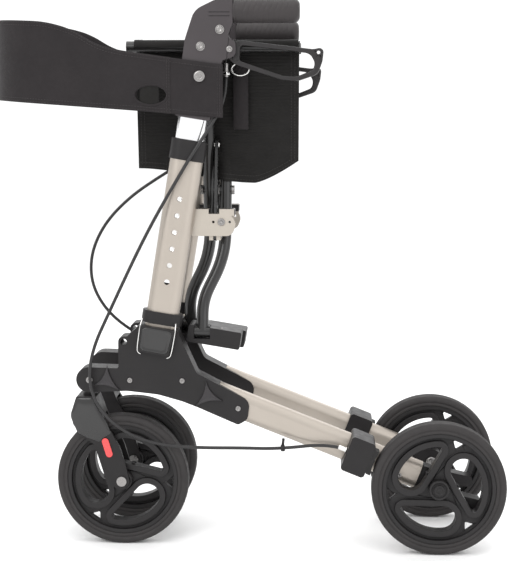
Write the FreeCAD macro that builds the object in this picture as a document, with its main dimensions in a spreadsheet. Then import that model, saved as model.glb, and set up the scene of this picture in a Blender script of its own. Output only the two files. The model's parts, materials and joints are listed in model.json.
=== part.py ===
"""Folding rollator walker, standing folded on its four wheels, in millimetres.

+X points rearward (towards the user), +Y to the walker's right and +Z up. The origin is on the floor,
under the middle of the walker. "left" and "right" are the user's.
Each side function takes side = -1 for the left half and +1 for the right half.
"""

import FreeCAD, Part
import math
import os

import Sketcher
from FreeCAD import Placement, Rotation, Vector

doc = FreeCAD.newDocument("rollator_walker")

# Driving dimensions. Each one is written once, here, and read from the sheet everywhere else.
SIZES = {
    # folded stance
    "frame_offset": 64,
    "hole_pitch": 25,
    "hole_bore_radius": 4.05,
    # side frames
    "tube_lean_angle": 9.2,
    "tube_foot_x": -130,
    "tube_foot_z": 347,
    "main_tube_top": 266,
    "main_tube_width": 49,
    "main_tube_thickness": 30,
    "tube_wall": 2.4,
    "slide_clearance": 0.1,
    "rear_tube_slope": 21.4,
    "rear_tube_height": 43,
    "rear_tube_thickness": 28,
    "joint_thickness": 33,
    # wheels
    "wheel_radius": 100,
    "tyre_width": 28,
    "tyre_depth": 16,
    "rear_wheel_x": 284,
    "rear_wheel_offset": 31,
    "front_wheel_x": -191,
    "swivel_axis_x": -242,
    "axle_radius": 6,
    "running_clearance": 0.05,
    "fork_gap": 34,
    "fork_leg_thickness": 5,
    # folding cross
    "pivot_inset": 28,
    "pivot_height": 322,
    "rail_height": 749,
    "open_cross_angle": 62.7,
    "cross_tube_radius": 9.25,
    "cross_tube_wall": 1.6,
    "cross_tube_a_x": -38.6,
    "cross_tube_b_x": -63.7,
    "cross_tube_sweep": 33.4,
    "pivot_pin_radius": 4,
    "rail_radius": 8.5,
    "rail_front_x": -183,
    "rail_rear_x": 74.5,
    "link_inset": 20,
    "link_thickness": 4.1,
    "link_width": 16,
    # seat
    "seat_front_x": -171,
    "seat_rear_x": 72,
    "seat_cloth": 2,
    "seat_drop": 191,
    # handles
    "grip_radius": 17.5,
    "grip_height": 799,
    "grip_rear_x": 74.5,
    "grip_core_radius": 11,
    "lever_pivot_x": -27,
    "lever_pivot_z": 744,
    "lever_width": 16,
    # backrest strap
    "strap_offset": 16,
    "strap_cloth": 3,
    "strap_front_x": -384,
    # brake cable
    "cable_radius": 2.5,
}

sheet = doc.addObject("Spreadsheet::Sheet", "Sizes")
for row, (alias, value) in enumerate(SIZES.items(), start=1):
    sheet.set(f"A{row}", alias)
    sheet.set(f"B{row}", str(value))
    sheet.setAlias(f"B{row}", alias)
doc.recompute()


def size(alias):
    """A driving dimension, read from the sheet."""
    return float(getattr(sheet, alias))


finished = {}


# ---------------------------------------------------------------- drawing helpers


def bind(item, property_name, value):
    """Sets a property to a number, or binds it to an expression over the sheet."""
    if isinstance(value, str):
        item.setExpression(property_name, value)
    else:
        setattr(item, property_name, value)


def keep(label, item):
    """Names a finished sub-part."""
    item.Label = label
    finished[label] = item
    return item


def corner(point, before, after, radius):
    """Where a rounded corner starts, its middle and its end."""
    here = Vector(point[0], point[1])
    to_before = (Vector(before[0], before[1]) - here).normalize()
    to_after = (Vector(after[0], after[1]) - here).normalize()
    half = to_before.getAngle(to_after) / 2
    reach = radius / math.tan(half)
    middle = (to_before + to_after).normalize()
    nearest = here + middle * (radius / math.sin(half) - radius)
    return here + to_before * reach, nearest, here + to_after * reach


def outline(points):
    """Edges of a closed outline in a sketch plane. A point's third value rounds its corner."""
    corners = []
    for index, point in enumerate(points):
        before, after = points[index - 1], points[(index + 1) % len(points)]
        if len(point) > 2:
            corners.append(corner(point, before, after, point[2]))
        else:
            here = Vector(point[0], point[1])
            corners.append((here, None, here))
    edges = []
    for index, (start, nearest, end) in enumerate(corners):
        if nearest is not None:
            edges.append(Part.Arc(start, nearest, end))
        following = corners[(index + 1) % len(corners)][0]
        side = Vector(*points[(index + 1) % len(points)][:2]) - Vector(*points[index][:2])
        if (following - end).dot(side) < -0.001:
            raise ValueError(f"roundings overlap after point {index} of {points}")
        if (following - end).Length > 0.001:
            edges.append(Part.LineSegment(end, following))
    return edges


def circle(x, z, radius):
    """A circle for a sketch. A radius given as text is bound to the sheet."""
    return [("circle", x, z, radius)]


def stadium(width, thickness):
    """A flat-sided oval, long along the sketch's first axis."""
    end = (width - thickness) / 2
    half = thickness / 2
    return [
        Part.LineSegment(Vector(-end, -half), Vector(end, -half)),
        Part.Arc(Vector(end, -half), Vector(end + half, 0), Vector(end, half)),
        Part.LineSegment(Vector(end, half), Vector(-end, half)),
        Part.Arc(Vector(-end, half), Vector(-end - half, 0), Vector(-end, -half)),
    ]


def sketch_on(body, role, loops, name="outline"):
    """A sketch of closed loops on one of the body's own origin planes."""
    sketch = body.newObject("Sketcher::SketchObject", name)
    origin_plane = [feature for feature in body.Origin.OriginFeatures if feature.Role == role][0]
    sketch.AttachmentSupport = [(origin_plane, "")]
    sketch.MapMode = "FlatFace"
    for loop in loops:
        for edge in loop:
            if not isinstance(edge, tuple):
                sketch.addGeometry(edge)
                continue
            _, x, z, radius = edge
            bound = isinstance(radius, str)
            number = size(radius) if bound else radius
            drawn = sketch.addGeometry(Part.Circle(Vector(x, z), Vector(0, 0, 1), number))
            if bound:
                constraint = sketch.addConstraint(Sketcher.Constraint("Radius", drawn, number))
                sketch.setExpression(f"Constraints[{constraint}]", f"Sizes.{radius}")
    return sketch


def padded(name, role, loops, length, both_ways=True):
    """A PartDesign body: closed loops padded across the plane."""
    body = doc.addObject("PartDesign::Body", name)
    sketch = sketch_on(body, role, loops)
    pad = body.newObject("PartDesign::Pad", f"{name}_pad")
    pad.Profile = sketch
    bind(pad, "Length", length)
    pad.Midplane = both_ways
    body.Tip = pad
    return body


def add_pad(body, role, loops, length):
    """A further pad on the same body, both ways from the plane."""
    sketch = sketch_on(body, role, loops)
    pad = body.newObject("PartDesign::Pad", "pad")
    pad.Profile = sketch
    bind(pad, "Length", length)
    pad.Midplane = True
    body.Tip = pad


def place(item, x=0.0, y=0.0, z=0.0, axis=(0, 1, 0), angle=0.0):
    """Moves an item to its place, turned about an axis by an angle in degrees."""
    item.Placement = Placement(Vector(x, y, z), Rotation(Vector(*axis), angle))
    return item


def cylinder(radius, length, start, direction=(0, 1, 0), name="cylinder"):
    """A round bar or bore from a start point along a direction."""
    item = doc.addObject("Part::Cylinder", name)
    bind(item, "Radius", radius)
    bind(item, "Height", length)
    item.Placement = Placement(Vector(*start), Rotation(Vector(0, 0, 1), Vector(*direction)))
    return item


def cross_bar(radius, x, z, y_from, y_to):
    """A round bar or bore along Y."""
    return cylinder(radius, abs(y_to - y_from), (x, min(y_from, y_to), z), (0, 1, 0))


def long_bar(radius, y, z, x_from, x_to):
    """A round bar or bore along X."""
    return cylinder(radius, x_to - x_from, (x_from, y, z), (1, 0, 0))


def block(x_from, x_to, y_from, y_to, z_from, z_to):
    """A rectangular block. Its sides may be given in either order."""
    item = doc.addObject("Part::Box", "block")
    item.Length = abs(x_to - x_from)
    item.Width = abs(y_to - y_from)
    item.Height = abs(z_to - z_from)
    return place(item, min(x_from, x_to), min(y_from, y_to), min(z_from, z_to))


def fused(name, *items):
    """One solid from several that meet."""
    item = doc.addObject("Part::MultiFuse", name)
    item.Shapes = list(items)
    return item


def cut(name, base, *tools):
    """A base with each tool cut away."""
    tool = tools[0]
    if len(tools) > 1:
        tool = doc.addObject("Part::Compound", f"{name}_tools")
        tool.Links = list(tools)
    item = doc.addObject("Part::Cut", name)
    item.Base = base
    item.Tool = tool
    return item


def group(name, *items):
    """Separate solids of one node."""
    item = doc.addObject("Part::Compound", name)
    item.Links = list(items)
    return item


# ---------------------------------------------------------------- shared geometry

FRAME_Y = size("frame_offset")
LEAN = math.radians(size("tube_lean_angle"))
SLOPE = math.radians(size("rear_tube_slope"))
WHEEL_R = size("wheel_radius")
WIDTH = size("main_tube_width")
THICK = size("main_tube_thickness")
WALL = size("tube_wall")
SLIDE = size("slide_clearance")
RUNNING = size("running_clearance")
JOINT_HALF = size("joint_thickness") / 2
INNER_WIDTH = WIDTH - 2 * WALL - SLIDE
INNER_THICK = THICK - 2 * WALL - SLIDE
REAR_X = size("rear_wheel_x")
REAR_Y = FRAME_Y + size("rear_wheel_offset")
TYRE_INNER_R = WHEEL_R - size("tyre_depth")
STRAP_INNER = FRAME_Y + size("strap_offset")
STRAP_OUTER = STRAP_INNER + size("strap_cloth")
FRONT_X = size("front_wheel_x")
SWIVEL_X = size("swivel_axis_x")

# The height button stands this far up the main tube, and the lowest hole is one pitch below it.
BUTTON_S = 81.4
HOLES_BELOW, HOLES_ABOVE = 1, 4

# The cross: both tubes pivot on their own side's frame, inboard of it.
PIVOT_Y = FRAME_Y - size("pivot_inset")
PIVOT_Z = size("pivot_height")
RISE = size("rail_height") - PIVOT_Z
FOLDED = math.atan2(2 * PIVOT_Y, RISE)
CROSS_LENGTH = math.hypot(2 * PIVOT_Y, RISE)
OPENED = math.radians(size("open_cross_angle"))
TUBE_A_X = size("cross_tube_a_x")
TUBE_B_X = size("cross_tube_b_x")
SWEEP = size("cross_tube_sweep")
CROSS_R = size("cross_tube_radius")
RAIL_R = size("rail_radius")


def on_tube(s):
    """(x, z) of a point on the main tube's axis, s up from its foot."""
    return (
        size("tube_foot_x") + s * math.sin(LEAN),
        size("tube_foot_z") + s * math.cos(LEAN),
    )


def beside_tube(s, across):
    """(x, z) of a point at height s, across the tube towards the rear."""
    x, z = on_tube(s)
    return x + across * math.cos(LEAN), z - across * math.sin(LEAN)


def on_rear_tube(x):
    """Height of the rear tube's axis at x. It aims at the rear axle."""
    return WHEEL_R + (REAR_X - x) * math.tan(SLOPE)


def over_rear_tube(x, height):
    """(x, z) of a point at a height over the rear tube's axis."""
    return x, on_rear_tube(x) + height


def oval(name, width, thickness, s_from, s_to, y, wall=None):
    """A length of oval tube or bar in line with the main tube."""
    loops = [stadium(width, thickness)]
    if wall:
        loops.append(stadium(width - 2 * wall, thickness - 2 * wall))
    body = padded(name, "XY_Plane", loops, s_to - s_from, both_ways=False)
    x, z = on_tube(s_from)
    return place(body, x, y, z, angle=math.degrees(LEAN))


def rear_oval(name, height, thickness, x_from, x_to, y, wall=None):
    """A length of oval tube or bar in line with the rear tube, cut square."""
    loops = [stadium(height, thickness)]
    if wall:
        loops.append(stadium(height - 2 * wall, thickness - 2 * wall))
    length = (x_to - x_from) / math.cos(SLOPE)
    body = padded(name, "XY_Plane", loops, length, both_ways=False)
    return place(body, x_from, y, on_rear_tube(x_from), angle=90 + math.degrees(SLOPE))


# ---------------------------------------------------------------- side frame


def main_tube(side, name):
    """Outer telescopic tube with six height holes right through it."""
    y = side * FRAME_Y
    tube = oval("main_tube", WIDTH, THICK, -46, size("main_tube_top"), y, WALL)
    holes = []
    for step in range(-HOLES_BELOW, HOLES_ABOVE + 1):
        x, z = on_tube(BUTTON_S + step * size("hole_pitch"))
        holes.append(cross_bar("Sizes.hole_bore_radius", x, z, y - THICK, y + THICK))
    keep(f"main_tube_{name}", cut("main_tube_drilled", tube, *holes))


def tube_collar(side, name):
    """Plastic collar that caps the main tube and guides the inner tube."""
    y = side * FRAME_Y
    top = size("main_tube_top")
    shell = oval("collar", WIDTH + 4.6, THICK + 4.6, top - 27, top + 3.5, y)
    seat = oval("collar_seat", WIDTH + 0.1, THICK + 0.1, top - 30, top, y)
    mouth = oval("collar_mouth", INNER_WIDTH + 0.2, INNER_THICK + 0.2, top - 5, top + 9, y)
    keep(f"tube_collar_{name}", cut("tube_collar", shell, seat, mouth))


# Cross bore through the base joint's front lug.
LUG = (-186.3, 312.2)
LUG_BORE = 5.0
# The rear tube runs from inside the base joint to just short of the axle.
REAR_TUBE_START = -50
REAR_TUBE_END = REAR_X - 29


def base_joint(side, name):
    """Junction of the main tube, the caster and the rear tube."""
    y = side * FRAME_Y
    shape = [
        (-258.8, 274, 19),
        (-194.6, 272.3, 3),
        (-194.6, 320.3, 8),
        (-181, 321, 3),
        beside_tube(-13, -30) + (3,),
        beside_tube(-13, 26),
        (-102.5, 322, 5),
        over_rear_tube(-77, 24.53) + (12,),
        over_rear_tube(-23.2, 18.01) + (25,),
        over_rear_tube(2.5, 13.68) + (16,),
        over_rear_tube(-1, -15.69) + (12,),
        over_rear_tube(-15, -29.18) + (6,),
        over_rear_tube(-75, -26.89) + (40,),
        over_rear_tube(-99, -27.1) + (60,),
        (-135, 233, 60),
        (-182, 238, 40),
        (-258.8, 234.5, 19),
    ]
    rough = padded("base_joint", "XZ_Plane", [outline(shape)], "Sizes.joint_thickness")
    place(rough, 0, y, 0)
    hollow = "Sizes.axle_radius + Sizes.running_clearance"
    tools = [
        oval("main_tube_seat", WIDTH + 0.1, THICK + 0.1, -46, 60, y),
        rear_oval(
            "rear_tube_seat",
            size("rear_tube_height") + 0.1,
            size("rear_tube_thickness") + 0.1,
            REAR_TUBE_START,
            60,
            y,
        ),
        cylinder(hollow, 40, (SWIVEL_X, y, 228), (0, 0, 1)),
        cross_bar(LUG_BORE, *LUG, y - 40, y + 40),
    ]
    keep(f"base_joint_{name}", cut("base_joint_bored", rough, *tools))


def socket_latch(side, name):
    """Band round the main tube's foot with the glossy latch box on its outer face."""
    y = side * FRAME_Y
    band = oval("band", WIDTH + 12, THICK + 6, -8, 10, y)
    seat = oval("band_seat", WIDTH + 0.1, THICK + 0.1, -20, 20, y)
    ring = cut("band_ring", band, seat)
    lip_y = y + side * (max(JOINT_HALF, THICK / 2) + 0.05)
    face = [
        beside_tube(-52, -26) + (3,),
        beside_tube(-52, 20) + (3,),
        beside_tube(-12.2, 24) + (2,),
        beside_tube(-12.2, -28) + (2,),
    ]
    box_body = padded("latch_box", "XZ_Plane", [outline(face)], 9)
    place(box_body, 0, lip_y + side * 4.5, 0)
    keep(f"socket_latch_{name}", group("socket_latch", ring, box_body))


def rear_tube(side, name):
    """Oval tube from the base joint down to the rear axle."""
    tube = rear_oval(
        "rear_tube",
        size("rear_tube_height"),
        size("rear_tube_thickness"),
        REAR_TUBE_START,
        REAR_TUBE_END,
        side * FRAME_Y,
        WALL,
    )
    keep(f"rear_tube_{name}", tube)


# The brake housing's middle on the rear tube, its size, and where its shoe and cable run.
HOUSING_TO_TYRE = 28.456
HOUSING_X = REAR_X - (WHEEL_R + HOUSING_TO_TYRE) * math.cos(SLOPE)
HOUSING_LENGTH = 37
HOUSING_HEIGHT = 54
SHOE_DIRECTION = (math.cos(SLOPE), 0, -math.sin(SLOPE))
SHOE_STEM_R = 5
CABLE_PORT_OUT = 23.5
FERRULE_R = 3.05


def along_shoe(distance, y):
    """A point on the rear tube's line, a distance rearward of the brake housing's middle."""
    return (
        HOUSING_X + distance * math.cos(SLOPE),
        y,
        on_rear_tube(HOUSING_X) - distance * math.sin(SLOPE),
    )


def brake_housing(side, name):
    """Black block clamped round the rear tube, reaching out in front of the wheel."""
    y = side * FRAME_Y
    inner = y - side * 17
    outer = side * (REAR_Y + 10)
    half_length, half_height = HOUSING_LENGTH / 2, HOUSING_HEIGHT / 2
    face = [
        (-half_length, -half_height, 5),
        (half_length, -half_height, 5),
        (half_length, half_height, 5),
        (-half_length, half_height, 5),
    ]
    body = padded("brake_housing", "XZ_Plane", [outline(face)], abs(outer - inner))
    place(body, HOUSING_X, (inner + outer) / 2, on_rear_tube(HOUSING_X), angle=math.degrees(SLOPE))
    height = size("rear_tube_height") + 0.1
    thickness = size("rear_tube_thickness") + 0.1
    reach = 1.5 * HOUSING_LENGTH
    seat = rear_oval("housing_seat", height, thickness, HOUSING_X - reach, HOUSING_X + reach, y)
    bore = cylinder(
        SHOE_STEM_R + RUNNING,
        80,
        along_shoe(-45, side * REAR_Y),
        SHOE_DIRECTION,
    )
    ferrule_bore = cylinder(FERRULE_R, 12, along_shoe(-20, y + side * CABLE_PORT_OUT), SHOE_DIRECTION)
    keep(f"brake_housing_{name}", cut("brake_housing_bored", body, seat, bore, ferrule_bore))


def brake_shoe(side, name):
    """Shoe that slides out of the housing onto the tyre, with its guide stem."""
    y = side * REAR_Y
    stem = cylinder(SHOE_STEM_R, 34, along_shoe(-13, y), SHOE_DIRECTION)
    face = HOUSING_LENGTH / 2 + 0.1
    shape = [(face, -19, 2), (face + 17.4, -19), (face + 17.4, 19), (face, 19, 2)]
    pad = padded("shoe_pad", "XZ_Plane", [outline(shape)], 20)
    place(pad, HOUSING_X, y, on_rear_tube(HOUSING_X), angle=math.degrees(SLOPE))
    clear = cross_bar(WHEEL_R + 4, REAR_X, WHEEL_R, y - 20, y + 20)
    keep(f"brake_shoe_{name}", cut("brake_shoe", fused("shoe", stem, pad), clear))


def axle_bracket(side, name):
    """Casting in the rear tube's end that carries the axle and the tipping pedal."""
    y = side * FRAME_Y
    z = on_rear_tube(REAR_TUBE_END)
    plug = rear_oval(
        "axle_plug",
        size("rear_tube_height") - 2 * WALL - 0.1,
        size("rear_tube_thickness") - 2 * WALL - 0.1,
        REAR_TUBE_END - 36,
        REAR_TUBE_END + 6,
        y,
    )
    shape = [
        (REAR_TUBE_END + 8.5, z + 16.5, 3),
        (REAR_X + 14, WHEEL_R + 17, 15),
        (REAR_X + 22, WHEEL_R - 14, 8),
        (REAR_X + 66, WHEEL_R - 24, 5),
        (REAR_X + 63, WHEEL_R - 41, 6),
        (REAR_X + 4, WHEEL_R - 24, 8),
        (REAR_TUBE_END - 6, z - 20, 3),
    ]
    casting = padded("axle_casting", "XZ_Plane", [outline(shape)], 26)
    place(casting, 0, y, 0)
    boss = cross_bar(15, REAR_X, WHEEL_R, y + side * 5, side * (REAR_Y - size("tyre_width") / 2 - 3))
    bore = cross_bar("Sizes.axle_radius", REAR_X, WHEEL_R, y - 40, y + 40)
    solid = fused("axle_bracket_solid", plug, casting, boss)
    keep(f"axle_bracket_{name}", cut("axle_bracket", solid, bore))


def slot_x(side):
    """Middle of the lower pivot along X. The left frame carries tube A, the right one tube B."""
    return (TUBE_A_X if side < 0 else TUBE_B_X) - SWEEP


KNUCKLE_HALF = 12
KNUCKLE_R = 9


def pivot_block(side, name):
    """Block on the inner side of the frame with a slot for the cross tube's lower knuckle."""
    middle = slot_x(side)
    front = middle - KNUCKLE_HALF - 9
    rear = -12 if side < 0 else -7.5
    length = rear - front
    outer = FRAME_Y - JOINT_HALF - 0.05
    inner = 1.0
    shape = [(0, -17, 3), (length, -17, 3), (length, 9.5, 3), (0, 9.5, 3)]
    body = padded("pivot_block", "XZ_Plane", [outline(shape)], outer - inner)
    tilt = math.degrees(LEAN)
    drop = (middle - front) * math.sin(LEAN)
    place(body, front, side * (outer + inner) / 2, PIVOT_Z + drop, angle=tilt)
    reach = KNUCKLE_HALF + 0.3
    floor = PIVOT_Z - KNUCKLE_R - 0.5
    slot = block(middle - reach, middle + reach, 0, side * FRAME_Y, floor, PIVOT_Z + 40)
    bore = long_bar("Sizes.pivot_pin_radius", side * PIVOT_Y, PIVOT_Z, front - 5, middle + 30)
    keep(f"pivot_block_{name}", cut("pivot_block_slotted", body, slot, bore))


# The open seat rail lies just over the saddle's rests, which stop short of the cross tube under it.
SADDLE_PAD_TOP = PIVOT_Z + CROSS_LENGTH * math.cos(OPENED) - RAIL_R - 1.9
SADDLE_PAD_Y = PIVOT_Y + 2
LINK_Y = FRAME_Y - size("link_inset")
LINK_X = (TUBE_A_X + TUBE_B_X) / 2
LINK_ALONG = 70
# The saddle plate lies against the inboard side of the main tube, between these two offsets.
PLATE_INNER = FRAME_Y - 8
PLATE_OUTER = FRAME_Y - 4
PLATE_BOLT = (-41, 491)


def link_top(angle):
    """(y, z) of the link's place on the upper half of its cross tube, on the right side."""
    z = PIVOT_Z + (CROSS_LENGTH / 2 + LINK_ALONG) * math.cos(angle)
    return LINK_ALONG * math.sin(angle), z


def link_foot_height():
    """Height of the link's foot that makes its length the same folded and open."""
    folded_y, folded_z = link_top(FOLDED)
    open_y, open_z = link_top(OPENED)
    outward = CROSS_LENGTH / 2 * math.sin(OPENED) - PIVOT_Y
    folded = (LINK_Y - folded_y) ** 2 + folded_z**2
    opened = (LINK_Y + outward - open_y) ** 2 + open_z**2
    return (folded - opened) / (2 * (folded_z - open_z))


LINK_Z = link_foot_height()


def saddle_bracket(side, name):
    """Plate behind the main tube with the rests for the open seat rail and the link's clevis."""
    y = side * FRAME_Y
    face = [(-96, 470), (-26, 470, 12), (-19, 487, 14), (-26, 503, 12), (-92, 503)]
    holes = [circle(-53, 491, 2.0), circle(*PLATE_BOLT, 3.5), circle(-28.6, 491, 2.0)]
    plate = padded("saddle_plate", "XZ_Plane", [outline(face)] + holes, PLATE_OUTER - PLATE_INNER)
    place(plate, 0, side * (PLATE_INNER + PLATE_OUTER) / 2, 0)
    inner_y, outer_y = side * PLATE_INNER, side * PLATE_OUTER
    pieces = [plate]
    for x_from, x_to in ((-82, -60), (-44, -22)):
        pad_y = side * SADDLE_PAD_Y
        pieces.append(block(x_from, x_to, pad_y, inner_y, SADDLE_PAD_TOP - 13, SADDLE_PAD_TOP))
        pieces.append(block(x_from, x_to, inner_y, outer_y, 500, SADDLE_PAD_TOP))
    half = size("link_thickness") / 2 + 0.4
    for x_from, x_to in ((LINK_X - half - 6, LINK_X - half), (LINK_X + half, LINK_X + half + 6)):
        pieces.append(block(x_from, x_to, side * (LINK_Y - 7), inner_y, LINK_Z - 6, LINK_Z + 6))
    solid = fused("saddle_solid", *pieces)
    tube = oval("saddle_notch", WIDTH + 0.1, THICK + 0.1, 60, 220, y)
    bore = long_bar(3, side * LINK_Y, LINK_Z, LINK_X - 20, LINK_X + 20)
    keep(f"saddle_bracket_{name}", cut("saddle_bracket", solid, tube, bore))


def star(points, depth):
    """A three-pointed cap with sides that curve in."""
    centre = Vector(sum(p[0] for p in points) / 3, sum(p[1] for p in points) / 3)
    edges = []
    for index, point in enumerate(points):
        following = points[(index + 1) % 3]
        here, there = Vector(*point), Vector(*following)
        middle = (here + there) * 0.5
        edges.append(Part.Arc(here, middle + (centre - middle) * 0.35, there))
    return padded("star_cap", "XZ_Plane", [edges], depth)


# Half the width of a rear wheel's hub.
HUB_HALF = 17
STARS = (
    ((-211.5, 277.5), (-232, 246), (-192, 238.5)),
    (over_rear_tube(-62.9, 18.55), over_rear_tube(-80, -27.15), over_rear_tube(-38, -1.19)),
)


def frame_fasteners(side, name):
    """Bolts, pins, star caps and the rear axle of one side frame."""
    y = side * FRAME_Y
    tube_half = size("rear_tube_thickness") / 2
    face = y + side * (max(JOINT_HALF, tube_half) + 0.02)
    pieces = []
    for points in STARS:
        pieces.append(place(star(points, 4), 0, face + side * 2, 0))
    rear_bolt = over_rear_tube(-15, -4.18) + (4,)
    for x, z, radius in ((-238.8, 254.3, 5), (-177.6, 254.3, 4), (-98.9, 254.3, 4), rear_bolt):
        pieces.append(cross_bar(radius, x, z, face, face + side * 2))
    pieces.append(rear_axle(side))
    tube_face = y + side * (tube_half + 0.02)
    tube_bolt = over_rear_tube(REAR_TUBE_END - 29, -8.73)
    pieces.append(cross_bar(4, *tube_bolt, tube_face, tube_face + side * 2))
    middle = slot_x(side)
    pin_from, pin_to = middle - KNUCKLE_HALF - 8, middle + 28
    pieces.append(long_bar("Sizes.pivot_pin_radius - 0.01", side * PIVOT_Y, PIVOT_Z, pin_from, pin_to))
    pieces.append(long_bar(2.98, side * LINK_Y, LINK_Z, LINK_X - 10, LINK_X + 10))
    plate_face = side * (PLATE_OUTER + 0.02)
    pieces.append(cross_bar(5.5, *PLATE_BOLT, plate_face, plate_face + side * 1.98))
    keep(f"frame_fasteners_{name}", group("frame_fasteners", *pieces))


def rear_axle(side):
    """The rear axle with a head at each end."""
    inner = side * (FRAME_Y - 13.1)
    outer = side * (REAR_Y + HUB_HALF + 0.3)
    rod = cross_bar("Sizes.axle_radius - 0.01", REAR_X, WHEEL_R, inner - side * 2, outer + side * 1)
    head = cross_bar(9, REAR_X, WHEEL_R, inner, inner - side * 4)
    cap = cross_bar(8.5, REAR_X, WHEEL_R, outer, outer + side * 4)
    return fused("rear_axle", rod, head, cap)


# ---------------------------------------------------------------- wheels

HUB_R = 15
FLANGE = 9
OPENING_OUTER_R = TYRE_INNER_R - 20
OPENING_END_R = (OPENING_OUTER_R - HUB_R - FLANGE - 2) / 2
OPENING_END_ANGLE = -82
OPENING_TIP_R = 4.5


def comma(offset, turn):
    """A wheel opening grown by an offset and turned about the hub: a chord, a round end and a tip."""
    outer = OPENING_OUTER_R + offset
    round_r = OPENING_END_R + offset
    tip_r = OPENING_TIP_R + offset
    reach = OPENING_OUTER_R - OPENING_END_R
    angle = math.radians(OPENING_END_ANGLE)
    end = Vector(reach * math.cos(angle), reach * math.sin(angle))
    chord = end.y + round_r
    tip_y = chord - tip_r
    tip = Vector(-math.sqrt((outer - tip_r) ** 2 - tip_y**2), tip_y)
    to_end = Vector(outer * math.cos(angle), outer * math.sin(angle))
    to_tip = tip * (outer / tip.Length)
    middle = math.radians((OPENING_END_ANGLE - 180 + math.degrees(math.atan2(-tip.y, -tip.x))) / 2)
    lowest = Vector(outer * math.cos(middle), outer * math.sin(middle))
    tip_side = tip + Vector(-math.cos(math.radians(30)), math.sin(math.radians(30))) * tip_r
    points = {
        "chord_tip": Vector(tip.x, chord),
        "chord_end": Vector(end.x, chord),
        "round": end + Vector(math.cos(math.radians(4)), math.sin(math.radians(4))) * round_r,
        "end": to_end,
        "lowest": lowest,
        "tip_out": to_tip,
        "tip_side": tip_side,
    }
    spin = Rotation(Vector(0, 0, 1), turn)
    p = {key: spin.multVec(point) for key, point in points.items()}
    return [
        Part.LineSegment(p["chord_tip"], p["chord_end"]),
        Part.Arc(p["chord_end"], p["round"], p["end"]),
        Part.Arc(p["end"], p["lowest"], p["tip_out"]),
        Part.Arc(p["tip_out"], p["tip_side"], p["chord_tip"]),
    ]


def small_triangle(turn):
    """A small rounded triangular hole near the rim, between two openings."""
    points = []
    far, near = TYRE_INNER_R - 8, TYRE_INNER_R - 20
    for angle, distance in ((-6.5, far), (6.5, far), (0, near)):
        at = math.radians(angle + turn)
        points.append((distance * math.cos(at), distance * math.sin(at), 1.5))
    return outline(points)


TURNS = (0, 120, 240)
TRIANGLE_TURN = 188


def rim(name, x, y, phase, bore, hub_half):
    """Moulded rim: web with three openings, a raised flange round each, hub and tyre seat."""
    inner = TYRE_INNER_R
    holes = [comma(0, turn) for turn in TURNS]
    small = [small_triangle(turn + TRIANGLE_TURN) for turn in TURNS]
    web = circle(0, 0, inner - 3)
    body = padded(f"rim_{name}", "XZ_Plane", [web] + holes + small, 8)
    for turn in TURNS:
        add_pad(body, "XZ_Plane", [comma(FLANGE, turn), comma(0, turn)], 20)
    add_pad(body, "XZ_Plane", [circle(0, 0, inner), circle(0, 0, inner - 6)], 24)
    add_pad(body, "XZ_Plane", [circle(0, 0, HUB_R)], 2 * hub_half)
    hole = body.newObject("PartDesign::Pocket", "axle_bore")
    hole.Profile = sketch_on(body, "XZ_Plane", [circle(0, 0, bore)])
    hole.Length = 4 * hub_half
    hole.Midplane = True
    body.Tip = hole
    place(body, x, y, WHEEL_R, angle=-phase)
    keep(name, body)


def tyre(name, x, y):
    """Solid grey-black tyre, a closed ring of rounded section."""
    half = size("tyre_width") / 2
    inner = TYRE_INNER_R + 0.05
    shape = [
        (-half + 2, inner),
        (half - 2, inner),
        (half, inner + 5, 2),
        (half, WHEEL_R - 8, 6),
        (half - 7, WHEEL_R, 6),
        (-half + 7, WHEEL_R, 6),
        (-half, WHEEL_R - 8, 6),
        (-half, inner + 5, 2),
    ]
    body = doc.addObject("PartDesign::Body", "tyre")
    sketch = sketch_on(body, "YZ_Plane", [outline(shape)])
    turned = body.newObject("PartDesign::Revolution", "tyre_ring")
    turned.Profile = sketch
    turned.ReferenceAxis = (sketch, ["H_Axis"])
    turned.Angle = 360
    body.Tip = turned
    place(body, x, y, WHEEL_R)
    keep(name, body)


def fork(side, name):
    """Caster fork: crown and stem over the wheel, and a leg down each side to the axle."""
    y = side * FRAME_Y
    half = size("fork_gap") / 2
    shape = [
        (-258, 230, 3),
        (-229, 230, 3),
        (-216.6, 196.4, 30),
        (-192.6, 150.9, 60),
        (-184, 121, 20),
        (FRONT_X + 13, WHEEL_R - 4, 10),
        (FRONT_X - 2, WHEEL_R - 16, 10),
        (FRONT_X - 15, WHEEL_R - 6, 10),
        (-213.3, 119.4, 30),
        (-226, 151, 12),
        (-242.4, 164.3, 10),
        (-256, 172, 14),
        (-268, 200, 20),
    ]
    thickness = "Sizes.fork_gap + 2 * Sizes.fork_leg_thickness"
    rough = place(padded("fork", "XZ_Plane", [outline(shape)], thickness), 0, y, 0)
    room = cross_bar("Sizes.wheel_radius + 4", FRONT_X, WHEEL_R, y - half, y + half)
    below = block(-280, -160, y - half, y + half, 60, 168)
    stem = cylinder("Sizes.axle_radius", 40, (SWIVEL_X, y, 226), (0, 0, 1))
    washer = cylinder(9, 3.9, (SWIVEL_X, y, 230), (0, 0, 1))
    bore = cross_bar(5, FRONT_X, WHEEL_R, y - 40, y + 40)
    body = fused("fork_solid", rough, stem, washer)
    keep(f"fork_{name}", cut("fork_cut", body, room, below, bore))


def fork_reflector(side, name):
    """Oval red reflector let onto the fork's outer leg."""
    face = size("fork_gap") / 2 + size("fork_leg_thickness") + 0.02
    body = padded("reflector", "XZ_Plane", [stadium(30, 10)], 2)
    place(body, -212, side * (FRAME_Y + face + 1), 152, angle=90 - 17)
    keep(f"fork_reflector_{name}", body)


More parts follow.
